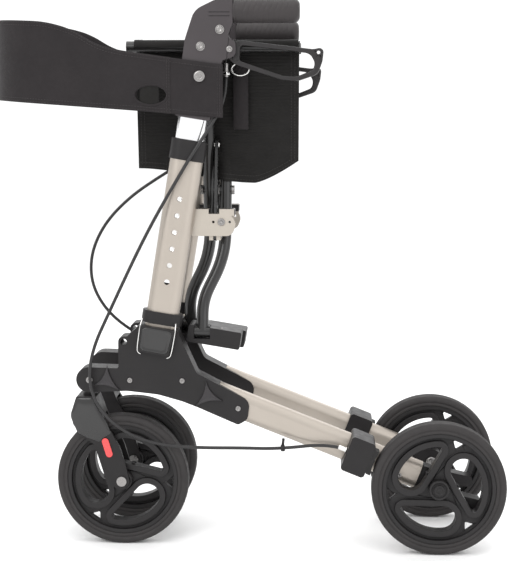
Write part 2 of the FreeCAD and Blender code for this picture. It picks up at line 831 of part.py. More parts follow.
def front_axle(side, name):
    """Front axle bolt with its head and nut outside the fork's legs."""
    y = side * FRAME_Y
    face = size("fork_gap") / 2 + size("fork_leg_thickness") + 0.02
    rod = cross_bar(4.99, FRONT_X, WHEEL_R, y - face - 1, y + face + 1)
    head = cross_bar(7.5, FRONT_X, WHEEL_R, y + face, y + face + 2.5)
    nut = cross_bar(7.5, FRONT_X, WHEEL_R, y - face - 2.5, y - face)
    keep(f"front_axle_{name}", fused("front_axle", rod, head, nut))


# ---------------------------------------------------------------- handles


def drop(side):
    """How far the handle is set down its tube: the right one is pinned one hole lower."""
    return 0 if side < 0 else size("hole_pitch")


def lowered(point, side):
    """An (x, z) point of the handle moved down the tube with the handle."""
    return (
        point[0] - drop(side) * math.sin(LEAN),
        point[1] - drop(side) * math.cos(LEAN),
    ) + tuple(point[2:])


COLUMN_BORE_TOP = 357
COLUMN_BOTTOM = 301
LEVER_X = size("lever_pivot_x")
LEVER_Z = size("lever_pivot_z")
GRIP_Z = size("grip_height")
GRIP_R = size("grip_radius")
GRIP_X = -22.4
STRAP_SCREW = (-70.6, 705)
ADJUSTER = (-33, 704)
ADJUSTER_LENGTH = 20


def inner_tube(side, name):
    """Polished inner telescopic tube, drilled at the hole pitch for the button and the holes above."""
    y = side * FRAME_Y
    low = BUTTON_S - 26 - drop(side)
    tube = oval("inner_tube", INNER_WIDTH, INNER_THICK, low, COLUMN_BORE_TOP - drop(side), y, 2)
    holes = []
    for step in range(0, HOLES_ABOVE + 2):
        x, z = on_tube(BUTTON_S - drop(side) + step * size("hole_pitch"))
        holes.append(cross_bar("Sizes.hole_bore_radius", x, z, y - THICK, y + THICK))
    keep(f"inner_tube_{name}", cut("inner_tube_drilled", tube, *holes))


def column(side, name):
    """Moulded handle column on the inner tube, curving back into the grip."""
    y = side * FRAME_Y
    shape = [
        beside_tube(COLUMN_BOTTOM, -26) + (4,),
        beside_tube(COLUMN_BOTTOM, 26) + (4,),
        (-44, 708, 30),
        (-37.3, 728, 4),
        (-18, 734, 9),
        (-18, 754, 9),
        (-30, 762, 6),
        (GRIP_X, GRIP_Z - GRIP_R, 3),
        (GRIP_X, GRIP_Z + GRIP_R),
        (-44, GRIP_Z + GRIP_R, 40),
        (-78, 800, 26),
        (-92, 758, 60),
    ]
    shape = [lowered(point, side) for point in shape]
    rough = place(padded("column", "XZ_Plane", [outline(shape)], 30), 0, y, 0)
    spigot_x, spigot_z = lowered((GRIP_X - 4, GRIP_Z), side)
    spigot = long_bar("Sizes.grip_core_radius", y, spigot_z, spigot_x, spigot_x + 74)
    solid = fused("column_solid", rough, spigot)
    top = COLUMN_BORE_TOP - drop(side)
    bore = oval("column_bore", INNER_WIDTH + 0.1, INNER_THICK + 0.1, top - 80, top, y)
    x, z = lowered((LEVER_X, LEVER_Z), side)
    half = size("lever_width") / 2 + 0.3
    slot = block(x - 12, x + 30, y - half, y + half, z - 17, z + 17)
    pin_bore = cross_bar(3, x, z, y - 30, y + 30)
    keep(f"column_{name}", cut("column_cut", solid, bore, slot, pin_bore))


def grip(side, name):
    """Soft round grip over the column's spigot, with a domed end."""
    x, z = lowered((GRIP_X + 0.1, GRIP_Z), side)
    rear = size("grip_rear_x")
    radius = GRIP_R
    body = doc.addObject("PartDesign::Body", "grip")
    core = size("grip_core_radius") + 0.05
    length = rear - GRIP_X
    shape = [
        (0, core),
        (72, core),
        (72, 0),
        (length, 0),
        (length, radius, 9),
        (0, radius),
    ]
    sketch = sketch_on(body, "XZ_Plane", [outline(shape)])
    turned = body.newObject("PartDesign::Revolution", "grip_turned")
    turned.Profile = sketch
    turned.ReferenceAxis = (sketch, ["H_Axis"])
    turned.Angle = 360
    body.Tip = turned
    place(body, x, side * FRAME_Y, z)
    keep(f"grip_{name}", body)


def handle_fasteners(side, name):
    """Column screws, strap screw, lever pin and the cable adjuster."""
    y = side * FRAME_Y
    face = y + side * 15.02
    pieces = []
    for point in ((-69.2, 748), (-41, 772)):
        x, z = lowered(point, side)
        pieces.append(cross_bar(6.5, x, z, face, face + side * 0.8))
    x, z = lowered(STRAP_SCREW, side)
    strap_face = side * (STRAP_OUTER + 0.2)
    shank = cross_bar(3.5, x, z, face, strap_face + side * 1)
    head = cross_bar(8, x, z, strap_face, strap_face + side * 2.5)
    pieces.append(fused("strap_screw", shank, head))
    x, z = lowered((LEVER_X, LEVER_Z), side)
    pieces.append(cross_bar(2.98, x, z, y - 14.9, y + 14.9))
    x, z = lowered(ADJUSTER, side)
    pieces.append(cylinder(3.6, ADJUSTER_LENGTH, (x, y, z), (0, 0, 1)))
    keep(f"handle_fasteners_{name}", group("handle_fasteners", *pieces))


def height_button(side, name):
    """Spring button that pins the inner tube, its tip just inside the main tube's wall."""
    x, z = on_tube(BUTTON_S - drop(side))
    tip = side * (FRAME_Y + INNER_THICK / 2)
    pin = cross_bar("Sizes.hole_bore_radius - 0.05", x, z, tip, tip - side * 7)
    plate = cross_bar(7, x, z, tip - side * 7, tip - side * 9)
    keep(f"height_button_{name}", fused("height_button", pin, plate))


def brake_lever(side, name):
    """Closed-loop lever hinged in the column under the grip, with a lanyard hole at its end."""
    y = side * FRAME_Y
    root_x, root_z = LEVER_X, LEVER_Z
    outer = [
        (root_x - 9, root_z + 6, 8),
        (-14, 757, 12),
        (62, 748, 60),
        (94, 744, 20),
        (110, 747, 6),
        (108, 727, 30),
        (101, 708, 12),
        (72, 698, 30),
        (48, 700, 30),
        (-20, 722, 10),
        (root_x - 9, root_z - 8, 8),
    ]
    inner = [
        (-12, 750, 5),
        (62, 741.5, 60),
        (90, 738, 14),
        (97, 724, 12),
        (94, 714, 8),
        (70, 704.5, 30),
        (50, 706, 30),
        (-13, 727.5, 5),
    ]
    outer = [lowered(point, side) for point in outer]
    inner = [lowered(point, side) for point in inner]
    pin = lowered((root_x, root_z), side)
    lanyard = lowered((102, 739.5), side)
    loops = [outline(outer), outline(inner), circle(*pin, 3 + RUNNING), circle(*lanyard, 2.6)]
    body = place(padded("brake_lever", "XZ_Plane", loops, "Sizes.lever_width"), 0, y, 0)
    keep(f"brake_lever_{name}", body)


# ---------------------------------------------------------------- folding cross


def smooth_path(points):
    """Straight runs joined by tangent arcs, each as large as its two runs allow."""
    points = [Vector(*point) for point in points]
    edges, radii = [], []
    start = points[0]
    for before, here, after in zip(points, points[1:], points[2:]):
        back, ahead = before - here, after - here
        run = 0.45 * min(back.Length, ahead.Length)
        back.normalize()
        ahead.normalize()
        half = back.getAngle(ahead) / 2
        radius = run * math.tan(half)
        middle = (back + ahead).normalize()
        nearest = here + middle * (radius / math.sin(half) - radius)
        arc_start, arc_end = here + back * run, here + ahead * run
        edges.append(Part.LineSegment(start, arc_start).toShape())
        edges.append(Part.Arc(arc_start, nearest, arc_end).toShape())
        radii.append(radius)
        start = arc_end
    edges.append(Part.LineSegment(start, points[-1]).toShape())
    return edges, radii


def cross_tube(label, top_x, side_of_foot):
    """Cross tube with its lower knuckle, centre bush and the seat rail welded on top.

    It is drawn upright in its own plane, then leaned about the lower pivot.
    """
    foot_x = top_x - SWEEP
    points = [(foot_x, 0), (foot_x, 48), (top_x, 116), (top_x, CROSS_LENGTH - 4)]
    edges, _ = smooth_path([(x, z, 0) for x, z in points])
    body = doc.addObject("PartDesign::Body", label + "_tube")
    path = sketch_on(body, "XZ_Plane", [[edge.Curve.trim(*edge.ParameterRange) for edge in edges]], "path")
    ring = [circle(foot_x, 0, "cross_tube_radius"), circle(foot_x, 0, CROSS_R - size("cross_tube_wall"))]
    profile = sketch_on(body, "XY_Plane", ring, "profile")
    doc.recompute()
    pipe = body.newObject("PartDesign::AdditivePipe", label + "_pipe")
    pipe.Profile = profile
    pipe.Spine = (path, [f"Edge{number + 1}" for number in range(len(edges))])
    body.Tip = pipe
    middle = CROSS_LENGTH / 2
    knuckle = long_bar(KNUCKLE_R, 0, 0, foot_x - KNUCKLE_HALF, foot_x + KNUCKLE_HALF)
    bush = long_bar(7.5, 0, middle, top_x - CROSS_R, top_x + CROSS_R)
    rail_front, rail_rear = size("rail_front_x"), size("rail_rear_x")
    rail = long_bar("Sizes.rail_radius", 0, CROSS_LENGTH, rail_front, rail_rear)
    solid = fused(label + "_solid", body, knuckle, bush, rail)
    pin = "Sizes.pivot_pin_radius + Sizes.running_clearance"
    pivot = long_bar(pin, 0, 0, foot_x - 20, foot_x + 20)
    centre = long_bar(pin, 0, middle, top_x - 20, top_x + 20)
    hollow = long_bar(RAIL_R - 1.5, 0, CROSS_LENGTH, rail_front + 4, rail_rear - 4)
    item = cut(label + "_cut", solid, pivot, centre, hollow)
    lean = math.degrees(FOLDED) * (1 if side_of_foot > 0 else -1)
    place(item, 0, side_of_foot * PIVOT_Y, PIVOT_Z, axis=(1, 0, 0), angle=lean)
    keep(label, item)


def centre_pivot_bolt():
    """Bolt through the middle of both cross tubes, with the spacer between them."""
    z = PIVOT_Z + RISE / 2
    front, rear = TUBE_B_X - CROSS_R - 0.4, TUBE_A_X + CROSS_R + 0.05
    rod = long_bar("Sizes.pivot_pin_radius", 0, z, front - 1, rear + 1)
    head = long_bar(7, 0, z, front - 4, front)
    nut = long_bar(7, 0, z, rear, rear + 4)
    spacer = long_bar(7, 0, z, TUBE_B_X + CROSS_R + 0.4, TUBE_A_X - CROSS_R - 0.05)
    keep("centre_pivot_bolt", fused("centre_bolt", rod, head, nut, spacer))


def link(side, name):
    """Flat bar from the saddle bracket up to the cross tube, with a boss at its top."""
    top_y, top_z = link_top(FOLDED)
    across, up = LINK_Y - top_y, top_z - LINK_Z
    length = math.hypot(across, up)
    half = size("link_width") / 2
    loops = [
        stadium(length + 2 * half, 2 * half),
        circle(-length / 2, 0, 3 + RUNNING),
    ]
    body = padded("link_bar", "XY_Plane", loops, "Sizes.link_thickness")
    lean = math.degrees(math.atan2(across, up))
    tilt = Rotation(Vector(1, 0, 0), side * lean)
    upright = Rotation(Vector(0, 1, 0), -90)
    centre = Vector(LINK_X, side * (LINK_Y + top_y) / 2, (LINK_Z + top_z) / 2)
    body.Placement = Placement(centre, tilt.multiply(upright))
    keep(f"link_{name}", body)


def seat_panel(side, name):
    """One half of the seat cloth: a sleeve over the rail and a panel that hangs to the middle."""
    radius = RAIL_R + 0.3
    outer = radius + 1.2
    drop_length = size("seat_drop")
    cloth = size("seat_cloth")
    rail = Vector(-PIVOT_Y, size("rail_height"))
    middle = radius + 0.1 + cloth / 2
    # The panel leans in until its lower edge is just short of the middle.
    lean = math.asin((PIVOT_Y - middle - cloth / 2 - 0.4) / drop_length)
    down = Vector(math.sin(lean), -math.cos(lean))
    inward = Vector(math.cos(lean), math.sin(lean))
    up = down * -1
    points = {
        "inner_start": rail + inward * radius,
        "inner_top": rail + up * radius,
        "inner_end": rail - inward * radius,
        "outer_end": rail - inward * outer,
        "outer_top": rail + up * outer,
        "outer_start": rail + inward * outer,
        "face_top": rail + inward * (radius + 0.1 + cloth),
        "face_low": rail + inward * (radius + 0.1 + cloth) + down * drop_length,
        "back_low": rail + inward * (radius + 0.1) + down * drop_length,
        "back_top": rail + inward * (radius + 0.1),
    }
    p = {key: Vector(-side * point.x, point.y) for key, point in points.items()}
    loop = [
        Part.Arc(p["inner_start"], p["inner_top"], p["inner_end"]),
        Part.LineSegment(p["inner_end"], p["outer_end"]),
        Part.Arc(p["outer_end"], p["outer_top"], p["outer_start"]),
        Part.LineSegment(p["outer_start"], p["face_top"]),
        Part.LineSegment(p["face_top"], p["face_low"]),
        Part.LineSegment(p["face_low"], p["back_low"]),
        Part.LineSegment(p["back_low"], p["back_top"]),
        Part.LineSegment(p["back_top"], p["inner_start"]),
    ]
    front, rear = size("seat_front_x"), size("seat_rear_x")
    body = padded("seat_panel", "YZ_Plane", [loop], rear - front, both_ways=False)
    place(body, front, 0, 0)
    gap_front, gap_rear = TUBE_B_X - SWEEP - 16, TUBE_A_X + 20
    rail_z = size("rail_height")
    notch = block(gap_front, gap_rear, -FRAME_Y, FRAME_Y, rail_z - drop_length - 30, rail_z + 3)
    keep(f"seat_panel_{name}", cut("seat_panel_notched", body, notch))


def strap_half(side, name):
    """One half of the backrest strap: flat past the column, then round a quarter turn to the middle."""
    inner, outer = STRAP_INNER, STRAP_OUTER
    front = size("strap_front_x")
    bend_x = front + outer
    end_x = -37
    edge = 0.3
    root = math.sqrt(0.5)

    def flat(x, y):
        return Vector(x, side * y)

    plan = [
        Part.LineSegment(flat(end_x, inner), flat(bend_x, inner)),
        Part.Arc(flat(bend_x, inner), flat(bend_x - inner * root, inner * root), flat(bend_x - inner, 0)),
        Part.LineSegment(flat(bend_x - inner, 0), flat(front, 0)),
        Part.Arc(flat(front, 0), flat(bend_x - outer * root, outer * root), flat(bend_x, outer)),
        Part.LineSegment(flat(bend_x, outer), flat(end_x, outer)),
        Part.LineSegment(flat(end_x, outer), flat(end_x, inner)),
    ]
    wall = place(padded("strap_plan", "XY_Plane", [plan], 200, both_ways=False), 0, 0, 620)
    face = [
        (end_x + 1, 644, 3),
        (-161, 655, 60),
        (front - 1, 671),
        (front - 1, 789),
        (-295, 784, 60),
        (-256, 773, 40),
        (-222, 751, 30),
        (-184, 742, 60),
        (end_x + 1, 722, 3),
    ]
    profile = padded("strap_face", "XZ_Plane", [outline(face)], 300)
    meet = doc.addObject("Part::MultiCommon", "strap_cloth")
    meet.Shapes = [wall, profile]
    trim = block(front - 5, bend_x, 0, side * edge, 600, 830)
    x, z = lowered(STRAP_SCREW, side)
    hole = cross_bar(4, x, z, side * (inner - 20), side * (outer + 12))
    keep(f"strap_{name}", cut("strap_trimmed", meet, trim, hole))


# ---------------------------------------------------------------- brake cable

# Points of each cable between its start at the adjuster and its lead into the brake housing, as x,
# y outboard of the frame's middle plane, and z. The left one hangs in front of its frame and runs back under the
# rear tube. The right one bows out further and runs back along the rear tube's outer side.
CABLE_ROUTES = {
    -1: [
        (-33.4, 0.6, 682),
        (-42, 9, 655),
        (-58, 18, 628),
        (-82, 21.5, 592),
        (-110, 22, 545),
        (-138, 22, 497),
        (-163, 22.5, 449),
        (-186, 24, 401),
        (-208, 26, 354),
        (-229, 27, 309),
        (-238, 27.5, 266),
        (-231, 28.5, 227),
        (-206, 30, 194),
        (-168, 29, 169),
        (-122, 27, 157),
        (-68, 26, 154.5),
        (-10, 25, 155),
        (45, 24.5, 154),
    ],
    1: [
        (-37.4, 1.5, 657),
        (-44, 11, 632),
        (-64, 20, 604),
        (-104, 22, 578),
        (-150, 24, 551),
        (-199, 25, 518),
        (-240, 26, 476),
        (-263, 26.5, 428),
        (-264, 27, 380),
        (-243, 27, 338),
        (-206, 26.5, 305),
        (-160, 26, 283),
        (-108, 25.5, 262),
        (-56, 25, 240),
        (-6, 24.5, 220),
        (44, 24.2, 198.5),
        (88, 23.8, 179.5),
    ],
}
CABLE_START_GAP = 0.3
CABLE_LEAD = 26


def cable_route(side):
    """The cable's points on one side, from the adjuster to the port in the brake housing."""
    start_x, start_z = lowered(ADJUSTER, side)
    start = Vector(start_x, side * FRAME_Y, start_z - CABLE_START_GAP)
    port = Vector(*along_shoe(-HOUSING_LENGTH / 2, side * (FRAME_Y + CABLE_PORT_OUT)))
    lead = port - Vector(*SHOE_DIRECTION) * CABLE_LEAD
    between = [Vector(x, side * (FRAME_Y + y), z) for x, y, z in CABLE_ROUTES[side]]
    return [start, *between, lead, port]


def brake_cable(side, name):
    """Brake cable, one round tube along its route from the adjuster to the brake housing."""
    radius = size("cable_radius")
    points = cable_route(side)
    edges, radii = smooth_path([tuple(point) for point in points])
    wire = Part.Wire(edges)
    first = points[1] - points[0]
    ring = Part.Wire([Part.Circle(points[0], first, radius).toShape()])
    shape = wire.makePipeShell([ring], True, False)
    item = doc.addObject("Part::Feature", "brake_cable")
    item.Shape = shape
    expected = math.pi * radius**2 * wire.Length
    print(
        f"brake_cable_{name}: length {wire.Length:.0f}, tightest arc {min(radii):.0f},"
        f" volume {shape.Volume:.0f} against {expected:.0f}"
    )
    print("  radii", [round(value) for value in radii])
    keep(f"brake_cable_{name}", item)


# ---------------------------------------------------------------- build

cross_tube("cross_tube_a", TUBE_A_X, -1)
cross_tube("cross_tube_b", TUBE_B_X, 1)
centre_pivot_bolt()

SIDE_PARTS = (
    main_tube,
    tube_collar,
    base_joint,
    socket_latch,
    rear_tube,
    brake_housing,
    brake_shoe,
    axle_bracket,
    pivot_block,
    saddle_bracket,
    frame_fasteners,
    fork,
    fork_reflector,
    front_axle,
    inner_tube,
    column,
    grip,
    handle_fasteners,
    height_button,
    brake_lever,
    link,
    seat_panel,
    strap_half,
    brake_cable,
)

for side, name in ((-1, "left"), (1, "right")):
    for make in SIDE_PARTS:
        make(side, name)
    rim(f"rear_rim_{name}", REAR_X, side * REAR_Y, 0, "axle_radius", HUB_HALF)
    tyre(f"rear_tyre_{name}", REAR_X, side * REAR_Y)
    rim(f"front_rim_{name}", FRONT_X, side * FRAME_Y, 47, 5.05, 16.5)
    tyre(f"front_tyre_{name}", FRONT_X, side * FRAME_Y)

doc.recompute()

problems = []
for item in doc.Objects:
    if "Invalid" in item.State or "Error" in item.State:
        problems.append(f"{item.Name} ({item.Label}): {item.State}")
for label, item in finished.items():
    if item.Shape.isNull() or not item.Shape.isValid() or not item.Shape.Solids:
        problems.append(f"{label}: shape is null, invalid or has no solid")
if problems:
    raise SystemExit("\n".join(problems))

os.makedirs("parts", exist_ok=True)
for label, item in finished.items():
    item.Shape.exportStep(f"parts/{label}.step")
print(len(finished), "nodes written")
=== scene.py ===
"""Looks of the folding rollator walker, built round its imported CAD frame.

Lengths are millimetres in the CAD frame until a mesh is made, which scales them to metres. The right
handle is pinned one hole lower than the left one.
"""

import json
import math

import bmesh
import bpy
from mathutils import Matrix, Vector

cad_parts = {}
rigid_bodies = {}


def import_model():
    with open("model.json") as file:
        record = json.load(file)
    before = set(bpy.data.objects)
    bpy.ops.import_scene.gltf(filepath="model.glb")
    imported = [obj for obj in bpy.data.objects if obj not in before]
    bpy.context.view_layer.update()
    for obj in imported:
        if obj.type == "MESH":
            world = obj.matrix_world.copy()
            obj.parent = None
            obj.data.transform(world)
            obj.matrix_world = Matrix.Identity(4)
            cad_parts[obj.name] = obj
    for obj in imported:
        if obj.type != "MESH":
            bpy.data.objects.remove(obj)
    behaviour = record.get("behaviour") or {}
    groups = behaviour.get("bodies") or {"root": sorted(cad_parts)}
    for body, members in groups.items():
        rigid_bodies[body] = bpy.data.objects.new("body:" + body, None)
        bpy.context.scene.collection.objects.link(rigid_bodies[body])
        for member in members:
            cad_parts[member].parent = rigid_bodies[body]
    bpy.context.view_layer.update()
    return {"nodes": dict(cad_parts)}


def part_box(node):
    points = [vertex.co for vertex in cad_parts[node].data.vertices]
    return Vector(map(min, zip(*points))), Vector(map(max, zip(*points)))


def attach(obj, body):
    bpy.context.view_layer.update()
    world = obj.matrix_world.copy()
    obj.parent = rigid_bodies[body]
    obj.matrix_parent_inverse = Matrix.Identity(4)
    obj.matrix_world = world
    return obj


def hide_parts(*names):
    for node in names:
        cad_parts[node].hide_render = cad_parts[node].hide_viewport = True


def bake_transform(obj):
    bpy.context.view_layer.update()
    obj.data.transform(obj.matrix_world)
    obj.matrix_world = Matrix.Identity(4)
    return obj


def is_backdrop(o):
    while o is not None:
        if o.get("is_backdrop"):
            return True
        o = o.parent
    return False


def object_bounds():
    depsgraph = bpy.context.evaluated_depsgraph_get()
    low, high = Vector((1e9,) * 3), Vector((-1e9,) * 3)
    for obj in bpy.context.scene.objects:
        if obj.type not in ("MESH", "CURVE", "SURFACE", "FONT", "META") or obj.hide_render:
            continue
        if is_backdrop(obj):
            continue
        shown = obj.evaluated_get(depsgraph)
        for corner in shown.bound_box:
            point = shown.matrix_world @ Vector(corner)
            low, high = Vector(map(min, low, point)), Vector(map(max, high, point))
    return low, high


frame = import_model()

MM = 0.001
SIDES = (("left", -1), ("right", 1))

# ---------------------------------------------------------------- camera and light

CAMERA_AT = Vector((0.119, -2.088, 0.665))
CAMERA_YAW = math.radians(-3.1)
CAMERA_PITCH = math.radians(7.33)
FOCAL_PIXELS = 1372
PICTURE_HEIGHT = 561
SENSOR = 36.0

camera_data = bpy.data.cameras.new("camera")
camera_data.sensor_width = SENSOR
camera_data.lens = SENSOR * FOCAL_PIXELS / PICTURE_HEIGHT
camera = bpy.data.objects.new("camera", camera_data)
bpy.context.scene.collection.objects.link(camera)
camera.location = CAMERA_AT
forward = Vector(
    (
        math.sin(CAMERA_YAW) * math.cos(CAMERA_PITCH),
        math.cos(CAMERA_YAW) * math.cos(CAMERA_PITCH),
        -math.sin(CAMERA_PITCH),
    )
)
camera.rotation_mode = "QUATERNION"
camera.rotation_quaternion = forward.to_track_quat("-Z", "Y")
bpy.context.scene.camera = camera
bpy.context.scene.view_settings.view_transform = "Standard"


def soft_light(name, at, target, size, power):
    """A large square light aimed at a point, in metres and watts."""
    data = bpy.data.lights.new(name, "AREA")
    data.size = size
    data.energy = power
    light = bpy.data.objects.new(name, data)
    bpy.context.scene.collection.objects.link(light)
    light.location = at
    light.rotation_mode = "QUATERNION"
    light.rotation_quaternion = (Vector(target) - Vector(at)).to_track_quat("-Z", "Y")


soft_light("key", (-1.3, -2.2, 1.9), (0, 0, 0.4), 1.6, 30)
soft_light("fill", (1.9, -1.6, 1.2), (0, 0, 0.4), 1.8, 12)
soft_light("back", (0.4, 2.4, 2.2), (0, 0, 0.4), 2.0, 20)
soft_light("top", (0.0, -0.3, 2.6), (0, 0, 0.4), 2.2, 20)

world = bpy.data.worlds.new("studio")
world.use_nodes = True
world.node_tree.nodes["Background"].inputs["Color"].default_value = (1, 1, 1, 1)
world.node_tree.nodes["Background"].inputs["Strength"].default_value = 1.12
bpy.context.scene.world = world

# ---------------------------------------------------------------- materials


def material(name, colour, second, rough, metal=0.0, patch=9.0, rough_span=0.05, bumps=(), **sockets):
    """A surface whose colour and roughness wander between two values, with layers of bump.

    Each bump is (kind, scale, strength, depth in metres, stretch along x, y and z).
    """
    made = bpy.data.materials.new(name)
    made.use_nodes = True
    nodes, links = made.node_tree.nodes, made.node_tree.links
    nodes.clear()
    output = nodes.new("ShaderNodeOutputMaterial")
    shader = nodes.new("ShaderNodeBsdfPrincipled")
    links.new(shader.outputs["BSDF"], output.inputs["Surface"])
    place = nodes.new("ShaderNodeTexCoord").outputs["Object"]

    def noise(scale, stretch=(1, 1, 1), detail=4.0):
        mapping = nodes.new("ShaderNodeMapping")
        mapping.inputs["Scale"].default_value = stretch
        links.new(place, mapping.inputs["Vector"])
        texture = nodes.new("ShaderNodeTexNoise")
        texture.inputs["Scale"].default_value = scale
        texture.inputs["Detail"].default_value = detail
        links.new(mapping.outputs["Vector"], texture.inputs["Vector"])
        return texture.outputs["Fac"]

    def band(scale, direction, distortion):
        texture = nodes.new("ShaderNodeTexWave")
        texture.wave_type = "BANDS"
        texture.bands_direction = direction
        texture.inputs["Scale"].default_value = scale
        texture.inputs["Distortion"].default_value = distortion
        texture.inputs["Detail Scale"].default_value = 3.0
        links.new(place, texture.inputs["Vector"])
        return texture.outputs["Fac"]

    mix = nodes.new("ShaderNodeMix")
    mix.data_type = "RGBA"
    mix.inputs[6].default_value = (*colour, 1)
    mix.inputs[7].default_value = (*second, 1)
    links.new(noise(patch, detail=6.0), mix.inputs[0])
    links.new(mix.outputs[2], shader.inputs["Base Color"])
    spread = nodes.new("ShaderNodeMapRange")
    spread.inputs["From Min"].default_value = 0.3
    spread.inputs["From Max"].default_value = 0.7
    spread.inputs["To Min"].default_value = rough - rough_span
    spread.inputs["To Max"].default_value = rough + rough_span
    links.new(noise(patch * 5.3), spread.inputs["Value"])
    links.new(spread.outputs["Result"], shader.inputs["Roughness"])
    shader.inputs["Metallic"].default_value = metal
    for socket, value in sockets.items():
        shader.inputs[socket.replace("_", " ").title().replace("Ior", "IOR")].default_value = value
    normal = None
    for kind, scale, strength, depth, stretch in bumps:
        if kind == "noise":
            height = noise(scale, stretch)
        elif kind == "cells":
            cells = nodes.new("ShaderNodeTexVoronoi")
            cells.inputs["Scale"].default_value = scale
            links.new(place, cells.inputs["Vector"])
            height = cells.outputs["Distance"]
        else:
            first, other = band(scale, "X", stretch[0]), band(scale, "Z", stretch[2])
            both = nodes.new("ShaderNodeMath")
            both.operation = "MAXIMUM" if kind == "weave" else "ADD"
            links.new(first, both.inputs[0])
            links.new(other, both.inputs[1])
            height = both.outputs[0]
        bump = nodes.new("ShaderNodeBump")
        bump.inputs["Strength"].default_value = strength
        bump.inputs["Distance"].default_value = depth
        links.new(height, bump.inputs["Height"])
        if normal is not None:
            links.new(normal, bump.inputs["Normal"])
        normal = bump.outputs["Normal"]
    if normal is not None:
        links.new(normal, shader.inputs["Normal"])
    return made


